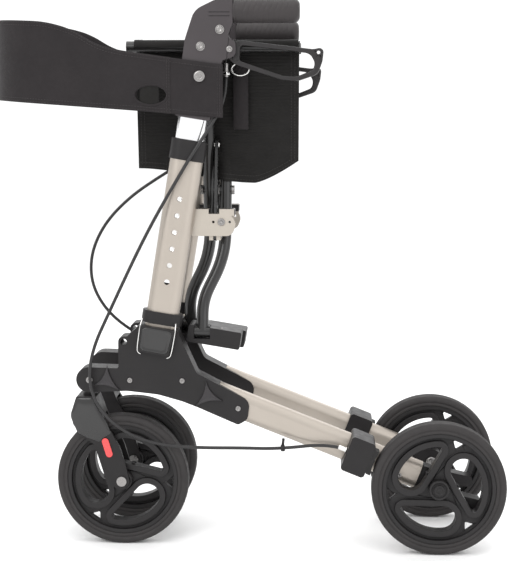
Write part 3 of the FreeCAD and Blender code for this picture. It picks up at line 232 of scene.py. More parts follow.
EVEN = (1, 1, 1)
MOULDED = ("noise", 1400, 0.25, 0.0002, EVEN)
LOOKS = {
    "champagne_tube": material(
        "anodised_champagne", (0.43, 0.388, 0.343), (0.385, 0.345, 0.303), 0.38, 0.7, 14, 0.04,
        [("noise", 900, 0.12, 0.0001, (1, 1, 0.08)), ("noise", 60, 0.05, 0.0003, EVEN)],
    ),
    "champagne_plate": material(
        "anodised_plate", (0.46, 0.42, 0.37), (0.38, 0.345, 0.30), 0.44, 0.6, 22, 0.05,
        [("noise", 1500, 0.2, 0.0001, (0.2, 1, 1))],
    ),
    "bright_tube": material(
        "polished_aluminium", (0.93, 0.93, 0.94), (0.86, 0.86, 0.87), 0.16, 0.9, 12, 0.04,
        [("noise", 1100, 0.06, 0.0001, (1, 1, 0.05))],
    ),
    "black_plastic": material(
        "moulded_black", (0.010, 0.0092, 0.0095), (0.016, 0.0145, 0.015), 0.42, 0.0, 18, 0.07,
        [MOULDED, ("noise", 90, 0.05, 0.0004, EVEN)],
        specular_ior_level=0.26,
    ),
    "glossy_latch": material(
        "glossy_black", (0.012, 0.012, 0.012), (0.02, 0.019, 0.019), 0.14, 0.0, 25, 0.05,
        [("noise", 120, 0.05, 0.0003, EVEN)], coat_weight=0.4,
        specular_ior_level=0.34,
    ),
    "grey_plastic": material(
        "moulded_grey", (0.026, 0.024, 0.026), (0.036, 0.033, 0.035), 0.5, 0.0, 30, 0.06, [MOULDED],
        specular_ior_level=0.3,
    ),
    "column_plastic": material(
        "column_satin", (0.034, 0.029, 0.031), (0.046, 0.039, 0.042), 0.44, 0.0, 16, 0.06,
        [("noise", 1700, 0.3, 0.0002, EVEN), ("noise", 70, 0.04, 0.0005, EVEN)],
        specular_ior_level=0.34,
    ),
    "grip_rubber": material(
        "grip_rubber", (0.024, 0.021, 0.0215), (0.036, 0.031, 0.0315), 0.56, 0.0, 26, 0.07,
        [("cells", 1500, 0.25, 0.0002, EVEN)], sheen_weight=0.05,
        specular_ior_level=0.3,
    ),
    "steel": material(
        "dark_zinc_steel", (0.33, 0.32, 0.31), (0.24, 0.23, 0.23), 0.3, 0.95, 60, 0.08,
        [("noise", 900, 0.1, 0.0001, EVEN)],
    ),
    "bright_steel": material(
        "bright_steel", (0.82, 0.81, 0.79), (0.68, 0.67, 0.66), 0.2, 1.0, 50, 0.06,
        [("noise", 700, 0.08, 0.0001, EVEN)],
    ),
    "brake_pad": material(
        "brake_rubber", (0.013, 0.0125, 0.0125), (0.022, 0.021, 0.021), 0.72, 0.0, 40, 0.08,
        [("cells", 900, 0.35, 0.0003, EVEN)],
        specular_ior_level=0.25,
    ),
    "lever_plastic": material(
        "lever_satin", (0.014, 0.0128, 0.0132), (0.021, 0.019, 0.0195), 0.36, 0.0, 20, 0.06, [MOULDED],
        specular_ior_level=0.34,
    ),
    "cable_sleeve": material(
        "cable_sleeve", (0.016, 0.0155, 0.016), (0.026, 0.025, 0.0255), 0.34, 0.0, 60, 0.05,
        [("noise", 1200, 0.1, 0.0001, EVEN)],
        specular_ior_level=0.34,
    ),
    "link_steel": material(
        "painted_steel", (0.016, 0.016, 0.016), (0.03, 0.03, 0.03), 0.26, 0.0, 40, 0.05,
        [("noise", 400, 0.08, 0.0002, EVEN)], coat_weight=0.3,
        specular_ior_level=0.34,
    ),
    "seat_fabric": material(
        "ribbed_polyester", (0.010, 0.0095, 0.009), (0.017, 0.016, 0.0155), 0.78, 0.0, 45, 0.08,
        [("weave", 230, 0.55, 0.0004, (0.4, 0.4, 0.4)), ("noise", 700, 0.3, 0.0003, EVEN)],
        sheen_weight=0.08, sheen_roughness=0.45,
        specular_ior_level=0.12,
    ),
    "strap_fabric": material(
        "woven_strap", (0.016, 0.0140, 0.0148), (0.024, 0.021, 0.022), 0.74, 0.0, 32, 0.07,
        [("weave", 330, 0.5, 0.0003, (0.3, 0.3, 0.3)), ("noise", 900, 0.25, 0.0002, EVEN)],
        sheen_weight=0.08, sheen_roughness=0.4,
        specular_ior_level=0.14,
    ),
    "thread": material(
        "stitch_thread", (0.034, 0.031, 0.031), (0.05, 0.046, 0.046), 0.6, 0.0, 80, 0.08,
        [("noise", 2500, 0.4, 0.0002, (1, 1, 0.2))],
        specular_ior_level=0.2,
    ),
    "wheel_plastic": material(
        "wheel_nylon", (0.012, 0.0112, 0.0115), (0.019, 0.0175, 0.018), 0.46, 0.0, 20, 0.07,
        [MOULDED, ("noise", 60, 0.06, 0.0004, EVEN)],
        specular_ior_level=0.28,
    ),
    "tyre": material(
        "tyre_rubber", (0.022, 0.0202, 0.0203), (0.032, 0.029, 0.029), 0.62, 0.0, 24, 0.08,
        [("noise", 900, 0.3, 0.0003, EVEN), ("noise", 45, 0.05, 0.0006, EVEN)],
        specular_ior_level=0.28,
    ),
    "red_reflector": material(
        "red_reflector", (0.74, 0.045, 0.045), (0.60, 0.025, 0.027), 0.2, 0.0, 90, 0.05,
        [("cells", 420, 0.5, 0.0006, EVEN)], coat_weight=0.8,
    ),
    "black_tube": material(
        "black_enamel", (0.014, 0.014, 0.014), (0.022, 0.021, 0.021), 0.22, 0.0, 26, 0.05,
        [("noise", 260, 0.05, 0.0002, EVEN)], coat_weight=0.25,
        specular_ior_level=0.34,
    ),
}

# What each kind of CAD node is made of, and how far its sharp edges are eased in millimetres.
NODE_LOOKS = {
    "main_tube": ("champagne_tube", 0.0),
    "tube_collar": ("black_plastic", 1.0),
    "base_joint": ("black_plastic", 1.6),
    "socket_latch": ("black_plastic", 0.8),
    "rear_tube": ("champagne_tube", 0.0),
    "brake_housing": ("black_plastic", 2.0),
    "brake_shoe": ("brake_pad", 0.8),
    "axle_bracket": ("black_plastic", 1.2),
    "pivot_block": ("black_plastic", 1.2),
    "saddle_bracket": ("champagne_plate", 0.4),
    "fork_reflector": ("red_reflector", 0.5),
    "fork": ("black_plastic", 2.4),
    "front_axle": ("steel", 0.6),
    "front_rim": ("wheel_plastic", 0.9),
    "rear_rim": ("wheel_plastic", 0.9),
    "inner_tube": ("bright_tube", 0.0),
    "column": ("column_plastic", 4.0),
    "handle_fasteners": ("steel", 0.3),
    "height_button": ("bright_steel", 0.4),
    "brake_lever": ("lever_plastic", 1.6),
    "link": ("link_steel", 0.5),
    "cross_tube": ("black_tube", 0.0),
    "centre_pivot_bolt": ("steel", 0.8),
}
EDGE_ANGLE = math.radians(32)


def dress(node, look, easing):
    """Gives a CAD node its material and eases its sharp edges."""
    node.data.materials.clear()
    node.data.materials.append(LOOKS[look])
    if easing:
        weld = node.modifiers.new("weld", "WELD")
        weld.merge_threshold = 0.00001
        bevel = node.modifiers.new("easing", "BEVEL")
        bevel.width = easing * MM
        bevel.segments = 3
        bevel.limit_method = "ANGLE"
        bevel.angle_limit = EDGE_ANGLE
        bevel.use_clamp_overlap = True
        smooth = node.modifiers.new("normals", "WEIGHTED_NORMAL")
        smooth.keep_sharp = False


for name, node in frame["nodes"].items():
    kinds = [kind for kind in NODE_LOOKS if name.startswith(kind)]
    if kinds:
        look, easing = NODE_LOOKS[max(kinds, key=len)]
        dress(node, look, easing)

# ---------------------------------------------------------------- mesh building


def build(name, shape, look, body=None):
    """A smooth mesh piece from (points in millimetres, faces)."""
    points, faces = shape
    mesh = bpy.data.meshes.new(name)
    mesh.from_pydata([tuple(c * MM for c in point) for point in points], [], faces)
    mesh.materials.append(LOOKS[look])
    tidy = bmesh.new()
    tidy.from_mesh(mesh)
    bmesh.ops.recalc_face_normals(tidy, faces=tidy.faces)
    tidy.to_mesh(mesh)
    tidy.free()
    mesh.polygons.foreach_set("use_smooth", [True] * len(mesh.polygons))
    item = bpy.data.objects.new(name, mesh)
    bpy.context.scene.collection.objects.link(item)
    if body:
        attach(item, body)
    return item


def ease(item, width, angle=EDGE_ANGLE):
    """Rounds a piece's sharp edges."""
    bevel = item.modifiers.new("easing", "BEVEL")
    bevel.width = width * MM
    bevel.segments = 2
    bevel.limit_method = "ANGLE"
    bevel.angle_limit = angle
    smooth = item.modifiers.new("normals", "WEIGHTED_NORMAL")
    smooth.keep_sharp = False
    return item


def joined(*shapes):
    """Several shapes as one."""
    points, faces = [], []
    for shape_points, shape_faces in shapes:
        start = len(points)
        points.extend(shape_points)
        faces.extend([tuple(index + start for index in face) for face in shape_faces])
    return points, faces


def loft(rings, ends=True):
    """A skin over rings of points. ends closes the first and last ring, or joins them if it is "round"."""
    count = len(rings[0])
    points = [point for ring in rings for point in ring]
    faces = []
    rows = len(rings) if ends == "round" else len(rings) - 1
    for row in range(rows):
        above = (row + 1) % len(rings)
        for column in range(count):
            beside = (column + 1) % count
            faces.append(
                (row * count + column, row * count + beside, above * count + beside, above * count + column)
            )
    if ends is True:
        faces.append(tuple(range(count)))
        faces.append(tuple(range((len(rings) - 1) * count, len(rings) * count)))
    return points, faces


def axes(direction):
    """Two directions across a given one."""
    along = Vector(direction).normalized()
    across = along.orthogonal().normalized()
    return along, across, along.cross(across)


def lathe(profile, centre, direction, segments=64, ends=True, relief=None):
    """A profile of (distance along, radius) turned about a line. relief adds to the radius."""
    along, across, other = axes(direction)
    centre = Vector(centre)
    rings = []
    for distance, radius in profile:
        ring = []
        for step in range(segments):
            angle = math.tau * step / segments
            reach = radius + (relief(distance, angle) if relief else 0)
            spoke = across * math.cos(angle) + other * math.sin(angle)
            ring.append(centre + along * distance + spoke * reach)
        rings.append(ring)
    return loft(rings, ends=ends)


def bar(route, radius, sides=12, ends=True):
    """A round bar along points."""
    route = [Vector(point) for point in route]
    rings = []
    across = None
    for index, point in enumerate(route):
        ahead = (route[min(index + 1, len(route) - 1)] - route[max(index - 1, 0)]).normalized()
        if across is None:
            across = ahead.orthogonal().normalized()
        across = (across - ahead * across.dot(ahead)).normalized()
        other = ahead.cross(across)
        turns = [math.tau * step / sides for step in range(sides)]
        rings.append([point + (across * math.cos(turn) + other * math.sin(turn)) * radius for turn in turns])
    return loft(rings, ends=ends)


def spline(route, resolution=8):
    """Points in millimetres along a NURBS curve whose control points are given in metres."""
    data = bpy.data.curves.new("route", "CURVE")
    data.dimensions = "3D"
    data.resolution_u = resolution
    line = data.splines.new("NURBS")
    line.points.add(len(route) - 1)
    for point, place in zip(line.points, route):
        point.co = (*place, 1)
    line.order_u = 3
    line.use_endpoint_u = True
    carrier = bpy.data.objects.new("route", data)
    bpy.context.scene.collection.objects.link(carrier)
    mesh = bpy.data.meshes.new_from_object(carrier.evaluated_get(bpy.context.evaluated_depsgraph_get()))
    points = [vertex.co / MM for vertex in mesh.vertices]
    bpy.data.objects.remove(carrier)
    return points


def dashes(route, length=2.6, gap=1.7, radius=0.32):
    """Stitches along a line of points."""
    shapes = []
    route = [Vector(point) for point in route]
    travelled, start = 0.0, None
    for before, after in zip(route, route[1:]):
        run = (after - before).length
        if run == 0:
            continue
        done = 0.0
        while done < run:
            phase = (travelled + done) % (length + gap)
            here = before.lerp(after, done / run)
            if phase < length:
                step = min(length - phase, run - done)
                start = here if start is None else start
                end = before.lerp(after, (done + step) / run)
                if phase + step >= length - 0.001:
                    shapes.append(bar([start, start.lerp(end, 0.5), end], radius, 6))
                    start = None
            else:
                step = min(length + gap - phase, run - done)
            done += max(step, 0.001)
        travelled += run
    return joined(*shapes)


def hexagon(centre, direction, rows, segments=48):
    """A screw head: rows of (distance along, radius, roundness) from 0, six-sided, to 1, round."""
    along, across, other = axes(direction)
    rings = []
    for distance, radius, roundness in rows:
        ring = []
        for step in range(segments):
            angle = math.tau * step / segments
            flat = math.cos(math.pi / 6) / math.cos(angle % (math.pi / 3) - math.pi / 6)
            reach = radius * (roundness + (1 - roundness) * flat)
            spoke = across * math.cos(angle) + other * math.sin(angle)
            ring.append(Vector(centre) + along * distance + spoke * reach)
        rings.append(ring)
    return loft(rings)


def socket_head(centre, direction, radius, height):
    """A round head with eased edges and a hexagon socket."""
    return hexagon(
        centre,
        direction,
        [
            (0, radius, 1),
            (height * 0.6, radius, 1),
            (height * 0.9, radius * 0.93, 1),
            (height, radius * 0.82, 1),
            (height, radius * 0.56, 1),
            (height * 0.95, radius * 0.5, 0),
            (height * 0.3, radius * 0.48, 0),
            (height * 0.28, radius * 0.1, 0),
        ],
    )


# ---------------------------------------------------------------- shared places

LEAN = math.radians(9.2)
SLOPE = math.radians(21.4)
FRAME_Y = 64
DROP = 25
HOUSING_X = 164.4
WHEEL_R = 100
FRONT_AXLE_X, REAR_AXLE_X = -191, 284
TUBE_FOOT_X, TUBE_FOOT_Z = -130, 347
LINK_X = -51.15
SHOE = Vector((math.cos(SLOPE), 0, -math.sin(SLOPE)))


def beside_tube(s, across):
    """(x, z) at height s up the main tube, across it towards the rear."""
    x = TUBE_FOOT_X + s * math.sin(LEAN) + across * math.cos(LEAN)
    z = TUBE_FOOT_Z + s * math.cos(LEAN) - across * math.sin(LEAN)
    return x, z


def rear_tube_z(x):
    """Height of the rear tube's axis."""
    return WHEEL_R + (REAR_AXLE_X - x) * math.tan(SLOPE)


def along_shoe(distance, y):
    """A point on the rear tube's line, rearward of the brake housing's middle."""
    return Vector((HOUSING_X, y, rear_tube_z(HOUSING_X))) + SHOE * distance


def lowered(side, x, z):
    """A point of the handle, one hole lower on the right."""
    down = 0 if side < 0 else DROP
    return x - down * math.sin(LEAN), z - down * math.cos(LEAN)


# ---------------------------------------------------------------- brake cables

CABLE_RADIUS = 2.5
# Each cable's route in metres, y outboard of the middle: the adjuster, its points, the lead and the port.
CABLES = {
    -1: [
        (-0.033, 0.064, 0.7037),
        (-0.0334, 0.0646, 0.682),
        (-0.042, 0.073, 0.655),
        (-0.058, 0.082, 0.628),
        (-0.082, 0.0855, 0.592),
        (-0.11, 0.086, 0.545),
        (-0.138, 0.086, 0.497),
        (-0.163, 0.0865, 0.449),
        (-0.186, 0.088, 0.401),
        (-0.208, 0.09, 0.354),
        (-0.229, 0.091, 0.309),
        (-0.238, 0.0915, 0.266),
        (-0.231, 0.0925, 0.227),
        (-0.206, 0.094, 0.194),
        (-0.168, 0.093, 0.169),
        (-0.122, 0.091, 0.157),
        (-0.068, 0.09, 0.1545),
        (-0.01, 0.089, 0.155),
        (0.045, 0.0885, 0.154),
        (0.12297, 0.0875, 0.16311),
        (0.14718, 0.0875, 0.15362),
    ],
    1: [
        (-0.037, 0.064, 0.67902),
        (-0.0374, 0.0655, 0.657),
        (-0.044, 0.075, 0.632),
        (-0.064, 0.084, 0.604),
        (-0.104, 0.086, 0.578),
        (-0.15, 0.088, 0.551),
        (-0.199, 0.089, 0.518),
        (-0.24, 0.09, 0.476),
        (-0.263, 0.0905, 0.428),
        (-0.264, 0.091, 0.38),
        (-0.243, 0.091, 0.338),
        (-0.206, 0.0905, 0.305),
        (-0.16, 0.09, 0.283),
        (-0.108, 0.0895, 0.262),
        (-0.056, 0.089, 0.24),
        (-0.006, 0.0885, 0.22),
        (0.044, 0.0882, 0.1985),
        (0.088, 0.0878, 0.1795),
        (0.12297, 0.0875, 0.16311),
        (0.14718, 0.0875, 0.15362),
    ],
}
PORT = -18.5
PORT_Y = 87.5
CLIP_X = 50

for name, side in SIDES:
    port = along_shoe(PORT, side * PORT_Y)
    line = spline([(x, side * y, z) for x, y, z in CABLES[side]])
    cable = build(f"cable_{name}", bar(line, CABLE_RADIUS, 16), "cable_sleeve")
    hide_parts(f"brake_cable_{name}")
    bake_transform(cable)
    sleeve = lathe(
        [(-13, 2.6), (-13, 3.1), (-12, 3.5), (-2, 3.5), (-1.4, 4.4), (0, 4.4), (0, 2.6)], port, SHOE, 32,
        ends="round",
    )
    build(f"cable_ferrule_{name}", sleeve, "bright_steel", f"{name}_frame")
    if side < 0:
        near = min(range(len(line)), key=lambda index: abs(line[index].x - CLIP_X))
        way = line[near + 1] - line[near - 1]
        ring = lathe([(-3, 2.6), (-3, 4.6), (-2, 5.2), (2, 5.2), (3, 4.6), (3, 2.6)], line[near], way, 24,
                     ends="round")
        up = line[near] + Vector((0, -0.6, 0))
        tab = bar([up + Vector((0, 0, 4.2)), up + Vector((0.4, 1.5, 9)), up + Vector((0.8, 5, 13))], 2.1, 10)
        build("cable_clip", joined(ring, tab), "black_plastic", "left_frame")

# ---------------------------------------------------------------- tyres and hubs

TYRE_SECTION = [
    (-12.5, 84.1), (12.5, 84.1), (13.4, 85.4), (13.6, 88.2), (12.7, 88.9), (12.7, 90.0), (13.9, 90.8),
    (14, 93.6), (13.3, 96.6), (11.4, 98.9), (8.4, 99.8), (5.6, 100), (5.2, 99.2), (4.6, 99.2), (4.2, 100),
    (0.5, 100), (0.1, 99.2), (-0.1, 99.2), (-0.5, 100), (-4.2, 100), (-4.6, 99.2), (-5.2, 99.2), (-5.6, 100),
    (-8.4, 99.8), (-11.4, 98.9), (-13.3, 96.6), (-14, 93.6), (-13.9, 90.8), (-12.7, 90.0), (-12.7, 88.9),
    (-13.6, 88.2), (-13.4, 85.4),
]
# Each pair of wheels: x, y from the middle, half the hub's width and the angle of its first arm in degrees.
WHEELS = (("front", FRONT_AXLE_X, FRAME_Y, 16.5, 47), ("rear", REAR_AXLE_X, 95, 17, 0))
ARM_FACE, SCREW_REACH, SCREW_TURN = 4.1, 27, 8

for name, side in SIDES:
    for end, x, offset, hub, phase in WHEELS:
        centre = Vector((x, side * offset, WHEEL_R))
        ring = build(
            f"tyre_{end}_{name}", lathe(TYRE_SECTION, centre, (0, 1, 0), 160, ends="round"), "tyre",
            f"{name}_{end}_wheel",
        )
        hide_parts(f"{end}_tyre_{name}")
        # Rings on the hub's faces and a screw on each of the three arms.
        shapes = []
        for face in (-1, 1):
            outward = Vector((0, face, 0))
            seat = centre + outward * hub
            rows = [(-1, 14.4), (0.3, 14.4), (0.9, 13.8), (0.9, 12.2), (0.2, 11.6), (0.2, 10.4), (-1, 10.4)]
            shapes.append(lathe(rows, seat, outward, 48, ends="round"))
            for arm in range(3):
                turn = math.radians(phase + SCREW_TURN + 120 * arm)
                out = Vector((math.cos(turn), 0, math.sin(turn)))
                screw = centre + outward * ARM_FACE + out * SCREW_REACH
                shapes.append(socket_head(screw, outward, 3.2, 1.6))
        build(f"hub_detail_{end}_{name}", joined(*shapes), "wheel_plastic", f"{name}_{end}_wheel")

# ---------------------------------------------------------------- frame fasteners and trim

STARS = (
    ((-211.5, 277.5), (-232, 246), (-192, 238.5)),
    ((-62.9, 254.5), (-80, 215.5), (-38, 225)),
)
JOINT_FACE = 16.52
SADDLE_Z = 491
CROSS_FEET = {-1: -72.0, 1: -97.1}
CROSS_FOOT_Y, CROSS_FOOT_Z = 36, 322
LINK_PIN_Y, LINK_PIN_Z = 44, 469.24
STAR_STEPS, STAR_HOLLOW = 14, 0.35
# The latch box's face: its corners as (height up the main tube, across it), and its distance from the middle.
LATCH_CORNERS = ((-49.5, -23.5), (-49.5, 17.5), (-14.5, 21), (-14.5, -25.5))
LATCH_FACE, LATCH_ROUNDING = 89.5, 0.12
# The latch's wires: height up the main tube, shift inwards and distance from the middle.
WIRE_ROUTE = (
    (-2, 1.5, 83), (-8, 0.5, 87), (-16, 0, 88.6), (-34, 0.2, 88.8), (-48, 0.8, 88.4),
    (-54, 2.5, 87.4), (-55.5, 7, 86.4),
)
# The fork's shoulder: its outline and crown, which shrinks towards its middle.
SHOULDER_X, SHOULDER_Z, FORK_FACE = -238, 196, 86
SHOULDER_EDGE = (
    (-257, 228), (-231, 228), (-222, 208), (-212, 190), (-206, 174),
    (-224, 160), (-241, 166), (-255, 173), (-264, 188), (-266, 202),
)
SHOULDER_CROWN = (
    (-0.4, 1), (0.4, 0.99), (1.0, 0.95), (1.6, 0.86), (2.1, 0.72), (2.4, 0.5), (2.55, 0.25), (2.6, 0.02),
)
REST_INNER, REST_OUTER = 38, 56


def star_cap(points, y, side):
    """A three-pointed cap with curved-in sides and a dished face."""
    corners = [Vector((x, 0, z)) for x, z in points]
    centre = sum(corners, Vector()) / 3
    outline = []
    for index, here in enumerate(corners):
        there = corners[(index + 1) % 3]
        pull = centre - (here + there) / 2
        for step in range(STAR_STEPS):
            share = step / STAR_STEPS
            outline.append(here.lerp(there, share) + pull * STAR_HOLLOW * 4 * share * (1 - share))
    rings = []
    for depth, scale in ((0, 1), (3.2, 1), (3.9, 0.97), (4.2, 0.9), (3.3, 0.62), (2.9, 0.3), (2.8, 0.05)):
        ring = [centre + (point - centre) * scale for point in outline]
        rings.append([Vector((point.x, y + side * depth, point.z)) for point in ring])
    return loft(rings)


for name, side in SIDES:
    body = f"{name}_frame"
    face = side * (FRAME_Y + JOINT_FACE)
    outward = (0, side, 0)
    caps = build(f"star_caps_{name}", joined(*[star_cap(points, face, side) for points in STARS]),
                 "grey_plastic", body)
    heads = []
    for x, z, radius in ((-238.8, 254.3, 5), (-177.6, 254.3, 4), (-98.9, 254.3, 4), (-15, 213, 4)):
        heads.append(socket_head((x, face, z), outward, radius, 2))
    heads.append(socket_head((226, side * (FRAME_Y + 14.02), 114), outward, 4, 2))
    heads.append(socket_head((-41, side * 60.02, SADDLE_Z), outward, 5.5, 2))
    inner, outer = side * (FRAME_Y - 13.1), side * 112.3
    axle = [(REAR_AXLE_X, y, WHEEL_R) for y in (inner, (inner + outer) / 2, outer)]
    heads.append(bar(axle, 5.99, 32))
    heads.append(socket_head(axle[0], (0, -side, 0), 9, 4))
    foot = CROSS_FEET[side]
    pivot = [(foot + reach, side * CROSS_FOOT_Y, CROSS_FOOT_Z) for reach in (-20, 0, 28)]
    heads.append(bar(pivot, 3.99, 24))
    heads.append(socket_head(pivot[-1], (1, 0, 0), 6, 3))
    heads.append(bar([(x, side * LINK_PIN_Y, LINK_PIN_Z) for x in (-61, -51, -41)], 2.98, 20))
    screws = build(f"frame_screws_{name}", joined(*heads), "steel", body)
    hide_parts(f"frame_fasteners_{name}")
    # Dark plastic cap over the outer end of the rear axle.
    cap = lathe(
        [
            (0, 8.6), (2.2, 8.6), (3.2, 8.1), (3.6, 7.2), (3.6, 5.4),
            (3.0, 5.0), (3.0, 3.4), (3.7, 2.8), (3.9, 0.3),
        ],
        axle[-1], outward, 48,
    )
    build(f"axle_cap_{name}", cap, "black_plastic", body)
    # Glossy face of the latch box and the wires down both its sides.
    corners = [beside_tube(s, across) for s, across in LATCH_CORNERS]
    middle_x = sum(x for x, z in corners) / 4
    middle_z = sum(z for x, z in corners) / 4
    outline = []
    for index, here in enumerate(corners):
        before, after = corners[index - 1], corners[(index + 1) % 4]
        for share in (0.0, 0.3, 0.7, 1.0):
            start = Vector(here).lerp(Vector(before), LATCH_ROUNDING * (1 - share))
            end = Vector(here).lerp(Vector(after), LATCH_ROUNDING)
            outline.append(tuple(start.lerp(end, share)))
    plate = []
    for depth, scale in ((-0.5, 1), (0.5, 1), (1.1, 0.95), (1.2, 0.9), (0.8, 0.84), (0.8, 0.7)):
        y = side * LATCH_FACE + side * depth
        reaches = [((x - middle_x) * scale, (z - middle_z) * scale) for x, z in outline]
        plate.append([Vector((middle_x + reach_x, y, middle_z + reach_z)) for reach_x, reach_z in reaches])
    build(f"latch_face_{name}", loft(plate), "glossy_latch", body)
    wires = []
    for across in (-28.5, 24.5):
        inwards = -math.copysign(1, across)
        route = []
        for s, shift, out in WIRE_ROUTE:
            x, z = beside_tube(s, across + inwards * shift)
            route.append((x * MM, side * out * MM, z * MM))
        wires.append(bar(spline(route), 0.85, 12))
    build(f"latch_wires_{name}", joined(*wires), "bright_steel", body)
    # Glossy crowned shoulder on the fork's outer face.
    shoulder = []
    for depth, scale in SHOULDER_CROWN:
        ring = []
        y = side * (FORK_FACE + depth)
        for index, (x, z) in enumerate(SHOULDER_EDGE):
            next_x, next_z = SHOULDER_EDGE[(index + 1) % len(SHOULDER_EDGE)]
            for share in (0, 0.25, 0.5, 0.75):
                reach_x = x + (next_x - x) * share - SHOULDER_X
                reach_z = z + (next_z - z) * share - SHOULDER_Z
                ring.append(Vector((SHOULDER_X + reach_x * scale, y, SHOULDER_Z + reach_z * scale)))
        shoulder.append(ring)
    build(f"fork_shoulder_{name}", loft(shoulder), "glossy_latch", f"{name}_fork")
    # Soft black caps over the saddle's rests.
    rest_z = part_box(f"saddle_bracket_{name}")[1][2] / MM
    rests = []
    for x_from, x_to in ((-82, -60), (-44, -22)):
        rows = []
        for depth, grow in ((-11, 0.5), (-1.2, 0.9), (-0.1, 0.4), (0.1, -2)):
            inner, outer = side * (REST_INNER - grow), side * (REST_OUTER + grow)
            near, far = x_from - grow, x_to + grow
            corners = ((near, inner), (far, inner), (far, outer), (near, outer))
            rows.append([Vector((x, y, rest_z + depth)) for x, y in corners])
        rests.append(loft(rows))
    ease(build(f"saddle_caps_{name}", joined(*rests), "black_plastic", body), 1.2)
    # Bosses where each link meets its cross tube.
    bosses = [socket_head((LINK_X + way * 2.1, side * 11.6, 604.5), (way, 0, 0), 5.2, 2.2) for way in (1, -1)]
    build(f"link_boss_{name}", joined(*bosses), "bright_steel", f"{name}_link")

# ---------------------------------------------------------------- handles

GRIP_X, GRIP_Z, GRIP_R = -22.3, 799, 17.5
GRIP_LENGTH = 96.8
GRIP_STEPS, GRIP_ROUNDING = 150, 9
RIBS_FROM, RIBS_TO, RIB_PITCH = 8, 88, 15.5
# Routes of the seam and slot lines, drawn in a plastic darker than the column: painted shade of the groove
# and slot.
SEAMS = (
    ((-27, 764), (-29.5, 748), (-31, 730), (-33, 716)),
    ((-57, 797), (-27, 797)),
    ((-57, 791.5), (-27, 791.5)),
)
COLUMN_FACE = 15.0
HOLE_PITCH = 25


def grip_relief(distance, angle):
    """Waved grooves along the grip and one round it near the column."""
    lift = 0.0
    if RIBS_FROM < distance < RIBS_TO:
        wave = math.sin(distance * math.tau / RIB_PITCH + 1.5 * math.cos(2 * angle))
        edge = min(1.0, (distance - RIBS_FROM) / 8, (RIBS_TO - distance) / 8)
        lift -= 0.75 * edge * math.exp(-((wave / 0.34) ** 2)) * (0.35 + 0.65 * abs(math.cos(angle / 2)))
    lift -= 0.7 * math.exp(-(((distance - 4) / 1.0) ** 2))
    return lift


for name, side in SIDES:
    body = f"{name}_handle"
    y = side * FRAME_Y
    x, z = lowered(side, GRIP_X, GRIP_Z)
    profile = [(0, 11.2), (0, 16.8), (0.5, 17.3), (1.2, GRIP_R)]
    for step in range(1, GRIP_STEPS + 1):
        profile.append((1.2 + (GRIP_LENGTH - 10.2) * step / GRIP_STEPS, GRIP_R))
    for step in range(1, 13):
        turn = math.pi / 2 * step / 12
        along = GRIP_LENGTH - GRIP_ROUNDING + GRIP_ROUNDING * math.sin(turn)
        profile.append((along, GRIP_R - GRIP_ROUNDING + GRIP_ROUNDING * math.cos(turn)))
    profile += [(GRIP_LENGTH, 7.5), (GRIP_LENGTH - 0.5, 7.0), (GRIP_LENGTH - 0.5, 0.2)]
    shape = lathe(profile, (x, y, z), (1, 0, 0), 112, relief=grip_relief)
    grip = build(f"grip_{name}_ribbed", shape, "grip_rubber", body)
    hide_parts(f"grip_{name}")
    # Recessed screws, and dark raised lines for the seam between the column's shells and the slot near its
    # top: painted shade of the groove and slot.
    outward = (0, side, 0)
    face = side * (FRAME_Y + COLUMN_FACE)
    screws = []
    for spot in ((-69.2, 748), (-41, 772)):
        sx, sz = lowered(side, *spot)
        rim = [(0, 6.6), (0.9, 6.6), (1.3, 6.1), (1.1, 5.2), (0.9, 5.2)]
        screws.append(lathe(rim, (sx, face, sz), outward, 40))
        screws.append(socket_head((sx, face, sz), outward, 4.9, 1.5))
    sx, sz = lowered(side, -70.6, 705)
    screws.append(socket_head((sx, side * 83.2, sz), outward, 8, 2.7))
    build(f"column_screws_{name}", joined(*screws), "steel", body)
    # The seam and slot lines are darker than the column's own plastic: painted shade standing in for the
    # shaded groove and slot.
    seams = []
    for spots in SEAMS:
        places = [lowered(side, *spot) for spot in spots]
        seams.append(bar([(sx, face, sz) for sx, sz in places], 0.5, 8))
    build(f"column_groove_shade_lines_{name}", joined(*seams), "black_plastic", body)
    # Polished liners in the inner tube's holes, seen through the main tube's.
    liners = []
    for step in (1, 2, 3, 4):
        lx, lz = beside_tube(81.4 + HOLE_PITCH * step, 0)
        for face_side in (-1, 1):
            cup = [(-1.4, 3.9), (0, 3.9), (0, 3.3), (-0.7, 2.8), (-0.9, 0.2)]
            liners.append(lathe(cup, (lx, y + face_side * 12.4, lz), (0, face_side, 0), 28))
    build(f"hole_liners_{name}", joined(*liners), "bright_steel", body)
    px, pz = lowered(side, -27, 744)
    build(f"lever_pin_{name}", joined(
        socket_head((px, side * (FRAME_Y + 14.9), pz), outward, 4.6, 1.6),
        socket_head((px, side * (FRAME_Y - 14.9), pz), (0, -side, 0), 4.6, 1.6),
    ), "steel", body)
    ax, az = lowered(side, -33, 704)
    nut = hexagon((ax, y, az + 3), (0, 0, 1), [(0, 5.4, 0.2), (0.6, 6.0, 0), (4.6, 6.0, 0), (5.2, 5.4, 0.2)])
    build(f"adjuster_nut_{name}", nut, "bright_steel", body)

# ---------------------------------------------------------------- backrest strap

STRAP_Y = 81.5
STRAP_BEND_X = -301
STRAP_SEAM_X = -112
STRAP_END_X = -36.5
LOWER_EDGE = ((-385, 671), (-161, 655), (-36, 644))
UPPER_EDGE = ((-385, 789), (-295, 784), (-256, 773), (-222, 751), (-184, 742), (-36, 722))


def edge_height(edge, x):
    """Height of a strap edge at x, its corners softened."""
    total = 0.0
    shifts = range(-16, 17, 4)
    for shift in shifts:
        at = min(max(x + shift, edge[0][0]), edge[-1][0])
        for (x0, z0), (x1, z1) in zip(edge, edge[1:]):
            if x0 <= at <= x1:
                total += z0 + (z1 - z0) * (at - x0) / (x1 - x0)
                break
    return total / len(shifts)


